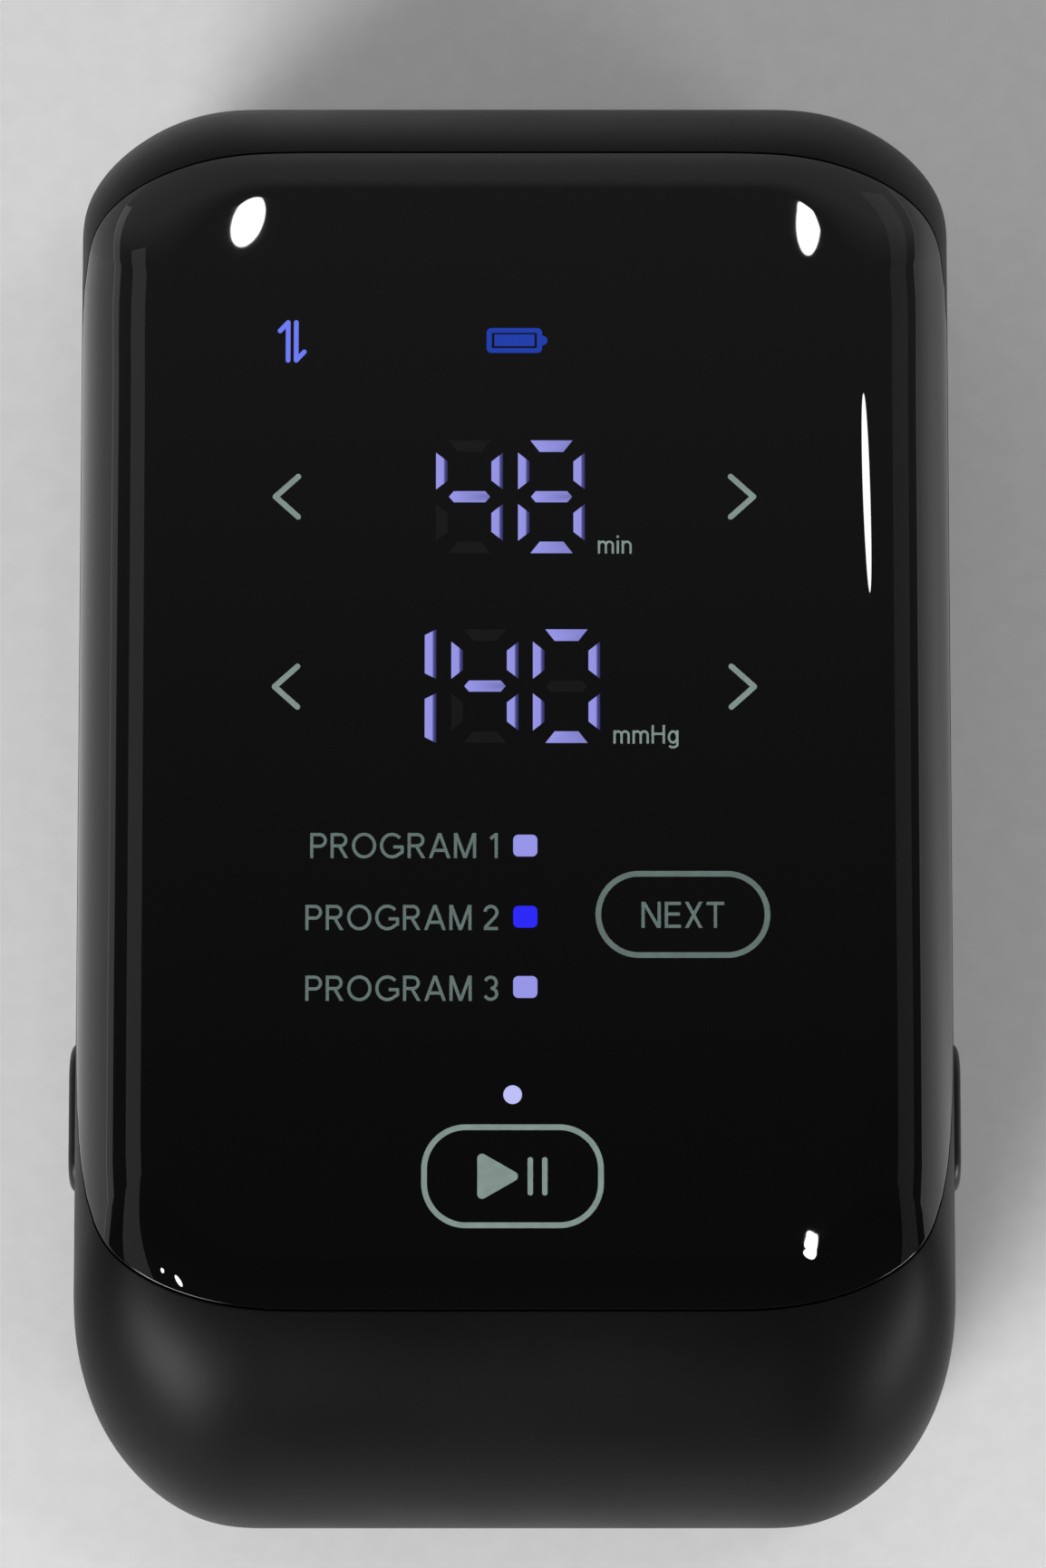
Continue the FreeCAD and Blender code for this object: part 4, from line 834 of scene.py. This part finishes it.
def make_lights():
    for row, (y, material) in enumerate(zip(LIGHT_ROWS, (lavender, royal_blue, lavender)), 1):
        lit_piece(f"program_light_{row}", [rounded_box(LIGHT_X, y, *LIGHT_BOX)], material)
    disc = oval(*START_LIGHT, START_LIGHT_RADIUS, START_LIGHT_RADIUS, LIGHT_STEPS)
    lit_piece("start_light", [disc], start_glow)


# Plain letters in strokes, on a capital height of 1. NIB is half the pen's width, TOP the middle of the top
# level stroke, and SMALL the height of a small letter. Each stroke lies a little above the one before.
PEN = 0.125
NIB = PEN / 2
TOP = 1 - NIB
SMALL = 0.72
LETTER_GAP = 0.15
WORD_GAP = 0.32
STROKE_LIFT = 0.002


def bar(x0, y0, x1, y1):
    """A straight stroke with level ends."""
    half = NIB * math.hypot(1.0, (x1 - x0) / (y1 - y0))
    return [[(x0 - half, y0), (x0 + half, y0), (x1 + half, y1), (x1 - half, y1)]]


def stem(x, low=0.0, high=1.0):
    """An upright stroke."""
    return bar(x, low, x, high)


def level(x0, x1, y):
    """A level stroke."""
    return [[(x0, y - NIB), (x1, y - NIB), (x1, y + NIB), (x0, y + NIB)]]


def bend(*points):
    """A stroke along a curve, with square ends."""
    return [stroke(points, PEN, False)]


def bowl(cx, cy, across, up):
    """A closed round stroke."""
    outer = oval(cx, cy, across + NIB, up + NIB, BOWL_STEPS)
    inner = oval(cx, cy, across - NIB, up - NIB, BOWL_STEPS)
    return ring(outer, inner)


def half_bowl(cx, low):
    """The round part of a capital between its top and a lower line."""
    reach = (TOP - low) / 2
    return bend((PEN, TOP), *arc(cx, low + reach, reach, 90, -90, 30), (PEN, low))


def shoulder(left, right):
    """The arch of a small letter and its right leg."""
    reach = (right - left) / 2
    return bend(*arc(left + reach, SMALL - NIB - reach, reach, 160, 0, 18), (right, 0.0))


# Each letter's width and its strokes
LETTERS = {
    "A": (0.84, [bar(0.055, 0, 0.42, 1), bar(0.785, 0, 0.42, 1), level(0.19, 0.65, 0.31)]),
    "E": (0.62, [stem(NIB), level(PEN, 0.62, TOP), level(PEN, 0.58, 0.53), level(PEN, 0.62, NIB)]),
    "G": (0.95, [bend(*arc(0.48, 0.5, 0.4175, 42, 312, 40, 0.4475),
                      (0.885, 0.235), (0.885, 0.4475), (0.53, 0.4475))]),
    "H": (0.72, [stem(NIB), stem(0.72 - NIB), level(PEN, 0.72 - PEN, 0.53)]),
    "M": (0.88, [stem(NIB), stem(0.88 - NIB), bar(0.44, 0, 0.075, 1), bar(0.44, 0, 0.805, 1)]),
    "N": (0.74, [stem(NIB), stem(0.74 - NIB), bar(0.665, 0, 0.075, 1)]),
    "O": (0.96, [bowl(0.48, 0.5, 0.4175, 0.4475)]),
    "P": (0.66, [stem(NIB), half_bowl(0.37, 0.475)]),
    "R": (0.70, [stem(NIB), half_bowl(0.38, 0.49), bar(0.63, 0, 0.36, 0.46)]),
    "T": (0.68, [level(0, 0.68, TOP), stem(0.34, 0, 1 - PEN)]),
    "X": (0.68, [bar(0.07, 0, 0.61, 1), bar(0.61, 0, 0.07, 1)]),
    "1": (0.42, [stem(0.33), bend((0.10, 0.77), (0.30, 0.93))]),
    "2": (0.60, [bend(*arc(0.30, 0.70, 0.2375, 172, -38, 30), (0.07, 0.10)), level(0.02, 0.575, NIB)]),
    "3": (0.59, [bend(*arc(0.285, 0.7175, 0.22, 160, -90, 30)),
                 bend(*arc(0.285, 0.28, 0.235, 90, -160, 30, 0.2175))]),
    "g": (0.58, [bowl(0.28, 0.36, 0.2175, 0.2975),
                 bend((0.5175, SMALL), *arc(0.285, -0.03, 0.2325, 0, -150, 24, 0.17))]),
    "i": (PEN, [stem(NIB, 0, SMALL), stem(NIB, 0.87, 1)]),
    "m": (0.88, [stem(NIB, 0, SMALL), shoulder(NIB, 0.44), shoulder(0.44, 0.8175)]),
    "n": (0.55, [stem(NIB, 0, SMALL), shoulder(NIB, 0.4875)]),
}
ALIGN = {"LEFT": 0.0, "CENTER": 0.5, "RIGHT": 1.0}


def make_word(name, text, height, x, y, align, material):
    """A generic label, placed by one end or its middle and by the middle of its capital height."""
    polygons = []
    lifts = []
    reach = 0.0
    for letter in text:
        if letter == " ":
            reach += WORD_GAP
            continue
        width, strokes = LETTERS[letter]
        for number, shapes in enumerate(strokes):
            polygons += [[(reach + px, py) for px, py in shape] for shape in shapes]
            lifts += [number * STROKE_LIFT] * len(shapes)
        reach += width + LETTER_GAP
    left = x - height * (reach - LETTER_GAP) * ALIGN[align]
    base = y - height / 2
    placed = [[(left + height * px, base + height * py) for px, py in polygon] for polygon in polygons]
    flat_piece(name, placed, material, lifts=lifts)


# The other words: name, text, height of a capital, place, which part of the word lies there, and ink
WORDS = (
    ("select_key_word", "NEXT", 2.30, 14.84, -10.56, "CENTER", ink_dim),
    ("minutes_label", "min", 1.62, 7.40, 22.31, "LEFT", ink),
    ("pressure_label", "mmHg", 1.64, 8.75, 5.40, "LEFT", ink),
)

make_digits()
make_icons()
make_keys()
make_lights()
for row, y in enumerate(LABEL_ROWS, 1):
    make_word(f"program_label_{row}", f"PROGRAM {row}", LABEL_HEIGHT, LABEL_RIGHT, y, "RIGHT", ink_dim)
for word in WORDS:
    make_word(*word)


# Finishes of the solids that carry over: name, colour, roughness, grain, metal and shine

FINISHES = {
    "shell": ("rear_shell_matte", srgb(13, 13, 14), 0.44, 0.25, 0.0, 0.11),
    "release_button": ("button_satin", srgb(20, 20, 21), 0.36, 0.15, 0.0, 0.25),
    "latch": ("latch_plastic", srgb(88, 88, 91), 0.42, 0.10, 0.0),
    "seal_rubber": ("rubber_black", srgb(62, 62, 64), 0.68, 0.30, 0.0),
    "screw_steel": ("screw_zinc", srgb(192, 192, 195), 0.30, 0.05, 1.0),
    "spring_steel": ("spring_wire", srgb(205, 205, 208), 0.22, 0.03, 1.0),
    "touch_film": ("amber_film", srgb(160, 155, 143), 0.15, 0.02, 0.0),
    "mask": ("mask_black", srgb(64, 64, 64), 0.55, 0.15, 0.0),
    "diffuser": ("frosted_plastic", srgb(224, 222, 238), 0.35, 0.05, 0.0),
    "led": ("led_resin", srgb(238, 231, 178), 0.20, 0.02, 0.0),
    "circuit_board": ("solder_mask", srgb(46, 110, 78), 0.32, 0.10, 0.0),
    "chip": ("chip_epoxy", srgb(56, 56, 56), 0.50, 0.12, 0.0),
    "dock": ("dock_satin", srgb(68, 68, 70), 0.38, 0.12, 0.0),
    "manifold_plastic": ("manifold_natural", srgb(194, 194, 191), 0.42, 0.10, 0.0),
    "yoke_steel": ("yoke_zinc", srgb(186, 186, 186), 0.35, 0.06, 1.0),
    "coil_tape": ("coil_amber", srgb(178, 148, 70), 0.30, 0.08, 0.0),
    "plunger_steel": ("plunger_turned", srgb(198, 198, 198), 0.28, 0.04, 1.0),
    "tube": ("silicone_clear", srgb(218, 218, 215), 0.40, 0.05, 0.0),
    "motor_steel": ("motor_plated", srgb(190, 190, 192), 0.30, 0.05, 1.0),
    "magnet": ("magnet_dull", srgb(89, 89, 89), 0.60, 0.15, 0.0),
    "pump_plastic": ("pump_satin", srgb(79, 79, 79), 0.42, 0.12, 0.0),
    "bush_brass": ("bush_sintered", srgb(203, 178, 124), 0.42, 0.10, 1.0),
    "cell_wrap": ("cell_shrink", srgb(63, 124, 160), 0.25, 0.04, 0.0),
    "tray": ("tray_satin", srgb(97, 97, 97), 0.45, 0.12, 0.0),
    "tab_nickel": ("tab_plain", srgb(212, 211, 203), 0.30, 0.04, 1.0),
    "port_steel": ("port_plated", srgb(203, 203, 206), 0.25, 0.03, 1.0),
    "port_tongue": ("tongue_black", srgb(48, 48, 48), 0.45, 0.10, 0.0),
    "filter_foam": ("filter_open_foam", srgb(124, 124, 127), 0.85, 0.60, 0.0),
}
finishes = {slot: moulded(*values) for slot, values in FINISHES.items()}
for entry in frame["record"]["subparts"]:
    if entry["material_slot"] in finishes:
        solid = nodes[entry["node"]]
        solid.data.materials.clear()
        solid.data.materials.append(finishes[entry["material_slot"]])


# Springs, coiled in the places of their nodes

def make_spring(name, node, along, fixed_end, wire, turns):
    """A coil spring in a node's place. Along is 0 for X or 2 for Z, and the fixed end, in millimetres, is
    not used.
    """
    low, high = [Vector(corner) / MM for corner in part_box(node)]
    middle = (low + high) / 2
    length = high[along] - low[along]
    first, second = (along + 1) % 3, (along + 2) % 3
    radius = (high[first] - low[first]) / 2 - wire
    steps = turns * COIL_STEPS
    points = []
    for step in range(steps + 1):
        angle = 2 * math.pi * step / COIL_STEPS
        rise = low[along] + wire + (length - 2 * wire) * step / steps
        for side in range(WIRE_SIDES):
            turn = 2 * math.pi * side / WIRE_SIDES
            reach = radius + wire * math.cos(turn)
            point = [0.0, 0.0, 0.0]
            point[first] = middle[first] + reach * math.cos(angle)
            point[second] = middle[second] + reach * math.sin(angle)
            point[along] = rise + wire * math.sin(turn)
            points.append(point)
    faces = grid_faces(steps + 1, WIRE_SIDES)
    faces.append(tuple(range(WIRE_SIDES)))
    faces.append(tuple(range(len(points) - 1, len(points) - 1 - WIRE_SIDES, -1)))
    spring = add_piece(name, points, faces)
    smooth(spring)
    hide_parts(node)
    paint(spring, finishes["spring_steel"])
    anchor = list(middle * MM)
    anchor[along] = fixed_end * MM
    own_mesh(spring)


for side_name, sign in (("left", -1), ("right", 1)):
    make_spring(f"{side_name}_release_coil", f"release_spring_{side_name}",
                0, sign * RELEASE_SPRING_SEAT, RELEASE_SPRING_WIRE, RELEASE_SPRING_TURNS)
for number in range(1, VALVE_COUNT + 1):
    make_spring(f"valve_{number}_coil", f"valve_spring_{number}",
                2, VALVE_SPRING_SEAT, VALVE_SPRING_WIRE, VALVE_SPRING_TURNS)


# Floor, light and camera

def mix_shaders(tree, share, first, second):
    node = tree.nodes.new("ShaderNodeMixShader")
    for socket, source in zip(node.inputs, (share, first, second)):
        tree.links.new(source, socket)
    return node.outputs["Shader"]


def make_floor():
    """A pale floor, left open under the body and clear from below, so that the back can be looked at."""
    mesh = bpy.data.meshes.new("floor")
    hole_x = half_width * MM - FLOOR_OVERLAP
    hole_y = top_end * MM - FLOOR_OVERLAP
    signs = ((-1, -1), (1, -1), (1, 1), (-1, 1))
    corners = [(x * FLOOR_REACH, y * FLOOR_REACH, 0) for x, y in signs]
    corners += [(x * hole_x, y * hole_y, 0) for x, y in signs]
    mesh.from_pydata(corners, [], [(i, (i + 1) % 4, (i + 1) % 4 + 4, i + 4) for i in range(4)])
    floor = bpy.data.objects.new("floor", mesh)
    bpy.context.scene.collection.objects.link(floor)
    material, tree, shader = new_material("floor_paper")
    place = tree.nodes.new("ShaderNodeTexCoord")
    fibre = noise(tree, place, *FLOOR_NOISE)
    darker, paler = FLOOR_TONES
    tree.links.new(ramp(tree, fibre, grey(darker), grey(paler), *FLOOR_BAND), shader.inputs["Base Color"])
    shader.inputs["Roughness"].default_value = FLOOR_ROUGH
    shader.inputs["Specular IOR Level"].default_value = FLOOR_SHINE
    distance = tree.nodes.new("ShaderNodeVectorMath")
    distance.operation = "LENGTH"
    tree.links.new(place.outputs["Object"], distance.inputs[0])
    fade = tree.nodes.new("ShaderNodeMapRange")
    fade.interpolation_type = "SMOOTHSTEP"
    fade.inputs["From Min"].default_value = FLOOR_NEAR
    fade.inputs["From Max"].default_value = FLOOR_FAR
    tree.links.new(distance.outputs["Value"], fade.inputs["Value"])
    far_tone = tree.nodes.new("ShaderNodeEmission")
    far_tone.inputs["Color"].default_value = grey(FLOOR_FAR_TONE)
    material.cycles.emission_sampling = "NONE"
    whole = mix_shaders(tree, fade.outputs["Result"], shader.outputs["BSDF"], far_tone.outputs["Emission"])
    clear = tree.nodes.new("ShaderNodeBsdfTransparent")
    side = tree.nodes.new("ShaderNodeNewGeometry")
    either = mix_shaders(tree, side.outputs["Backfacing"], whole, clear.outputs["BSDF"])
    tree.links.new(either, tree.nodes["Material Output"].inputs["Surface"])
    mesh.materials.append(material)


# Brightness of the studio by how far a direction leans to +Y
SKY = ((-1.0, 0.10), (-0.68, 0.11), (-0.5, 0.05), (-0.12, 0.04), (0.0, 0.06), (0.1, 0.11), (0.22, 0.19),
       (0.5, 0.45), (0.85, 0.52), (1.0, 0.70))


def make_world():
    world = bpy.data.worlds.new("studio")
    world.use_nodes = True
    tree = world.node_tree
    backdrop = tree.nodes["Background"]
    place = tree.nodes.new("ShaderNodeTexCoord")
    split = tree.nodes.new("ShaderNodeSeparateXYZ")
    tree.links.new(place.outputs["Generated"], split.inputs["Vector"])
    span = tree.nodes.new("ShaderNodeMapRange")
    span.inputs["From Min"].default_value = -1.0
    tree.links.new(split.outputs["Y"], span.inputs["Value"])
    band = tree.nodes.new("ShaderNodeValToRGB")
    stops = band.color_ramp.elements
    for _ in range(len(SKY) - 2):
        stops.new(0.5)
    for stop, (lean, brightness) in zip(stops, SKY):
        stop.position = (lean + 1) / 2
        stop.color = grey(brightness)
    tree.links.new(span.outputs["Result"], band.inputs["Fac"])
    tree.links.new(band.outputs["Color"], backdrop.inputs["Color"])
    bpy.context.scene.world = world


# Lamps: what they aim at, how far the panels stand off, and the small ones that show as patches in the lens.
# The scale of a hump makes up for its mean, a sixth
BODY_MIDDLE = (0.0, 0.0, 0.03)
PANEL_FAR = 2.2
PANEL_NEAR = 1.4
SPOT_HEIGHT = 0.744
SPOT_RADIANCE = 40.0
GLINT_RADIANCE = 30.0
STRIP_RADIANCE = 25.0
HUMP_SCALE = 6.0


def add_lamp(name, place, wide, tall, radiance, shape="RECTANGLE", spin=0.0):
    """A lamp given by its size and brightness, turned about its beam by a number of degrees."""
    lamp = bpy.data.lights.new(name, "AREA")
    lamp.shape = shape
    lamp.size = wide
    lamp.size_y = tall
    area = wide * tall * (math.pi / 4 if shape == "ELLIPSE" else 1.0)
    lamp.energy = radiance * area * math.pi
    holder = bpy.data.objects.new(name, lamp)
    holder.location = place
    facing = (Vector(BODY_MIDDLE) - Vector(place)).to_track_quat("-Z", "Y")
    holder.rotation_euler = (facing @ Quaternion((0, 0, 1), math.radians(spin))).to_euler()
    bpy.context.scene.collection.objects.link(holder)
    return lamp


def add_panel(name, distance, azimuth, elevation, wide, tall, radiance):
    """A broad lamp at a compass angle from +X and a height angle, seen from the body's middle."""
    turn = math.radians(azimuth)
    rise = math.radians(elevation)
    flat = distance * math.cos(rise)
    place = (flat * math.cos(turn), flat * math.sin(turn), BODY_MIDDLE[2] + distance * math.sin(rise))
    return add_lamp(name, place, wide, tall, radiance)


def add_spot(name, place, wide, tall, spin, radiance=SPOT_RADIANCE):
    """A small oval lamp."""
    add_lamp(name, place, wide, tall, radiance, "ELLIPSE", spin)


def math_node(tree, operation, first, second):
    """A node that works out one value from two, each a number or another node's output."""
    node = tree.nodes.new("ShaderNodeMath")
    node.operation = operation
    for socket, value in zip(node.inputs, (first, second)):
        if isinstance(value, float):
            socket.default_value = value
        else:
            tree.links.new(value, socket)
    return node.outputs["Value"]


def soften_panel(lamp):
    """Lets a lamp fade from its middle to its edges, with as much light in all."""
    lamp.use_nodes = True
    tree = lamp.node_tree
    place = tree.nodes.new("ShaderNodeNewGeometry")
    split = tree.nodes.new("ShaderNodeSeparateXYZ")
    tree.links.new(place.outputs["Parametric"], split.inputs["Vector"])
    humps = []
    for axis in ("X", "Y"):
        share = split.outputs[axis]
        rest = math_node(tree, "SUBTRACT", 1.0, share)
        hump = math_node(tree, "MULTIPLY", share, rest)
        humps.append(math_node(tree, "MULTIPLY", hump, HUMP_SCALE))
    strength = math_node(tree, "MULTIPLY", *humps)
    tree.links.new(strength, tree.nodes["Emission"].inputs["Strength"])


def make_lamps():
    soften_panel(add_panel("key_soft", PANEL_FAR, -126, 24, 1.47, 1.37, 8.5))
    soften_panel(add_panel("fill_soft", PANEL_FAR, -36, 8, 1.20, 0.62, 10.5))
    add_panel("strip_left", PANEL_NEAR, 188, 41, 1.3, 0.50, 0.42)
    add_panel("card_left", PANEL_NEAR, 180, 4, 2.4, 0.30, 0.68)
    add_panel("band_right", PANEL_NEAR, 8, 26, 2.4, 0.60, 0.18)
    add_spot("spot_left", (-0.0729, 0.2073, SPOT_HEIGHT), 0.0080, 0.0146, -41.6)
    add_spot("spot_right", (0.0772, 0.2066, SPOT_HEIGHT), 0.0064, 0.0170, 20.2)
    add_spot("spot_low_tip", (0.0773, -0.0672, SPOT_HEIGHT), 0.0021, 0.0069, 161.0)
    add_spot("spot_low_middle", (0.0937, -0.0920, SPOT_HEIGHT), 0.0076, 0.0700, 165.3)
    add_spot("spot_low_end", (0.1068, -0.1202, SPOT_HEIGHT), 0.0104, 0.0640, 168.8)
    add_spot("glint_high", (-0.3410, -0.2857, 0.6232), 0.0126, 0.0238, -2.8, GLINT_RADIANCE)
    add_spot("glint_low", (-0.2811, -0.2951, 0.6484), 0.0347, 0.0227, 130.9, GLINT_RADIANCE)
    add_spot("strip_right", (0.2547, 0.1321, 0.698), 0.1069, 0.0408, 44.8, STRIP_RADIANCE)


def make_camera():
    data = bpy.data.cameras.new("camera")
    data.sensor_width = CAMERA_SENSOR
    data.lens = CAMERA_LENS
    camera = bpy.data.objects.new("camera", data)
    tilt = math.radians(CAMERA_TILT)
    toward = Vector((0.0, -math.sin(tilt), math.cos(tilt)))
    camera.location = Vector(CAMERA_AIM) * MM + toward * CAMERA_DISTANCE * MM
    camera.rotation_euler = (tilt, 0.0, 0.0)
    bpy.context.scene.collection.objects.link(camera)
    bpy.context.scene.camera = camera


make_floor()
make_world()
make_lamps()
make_camera()
bpy.context.scene.view_settings.view_transform = "Standard"
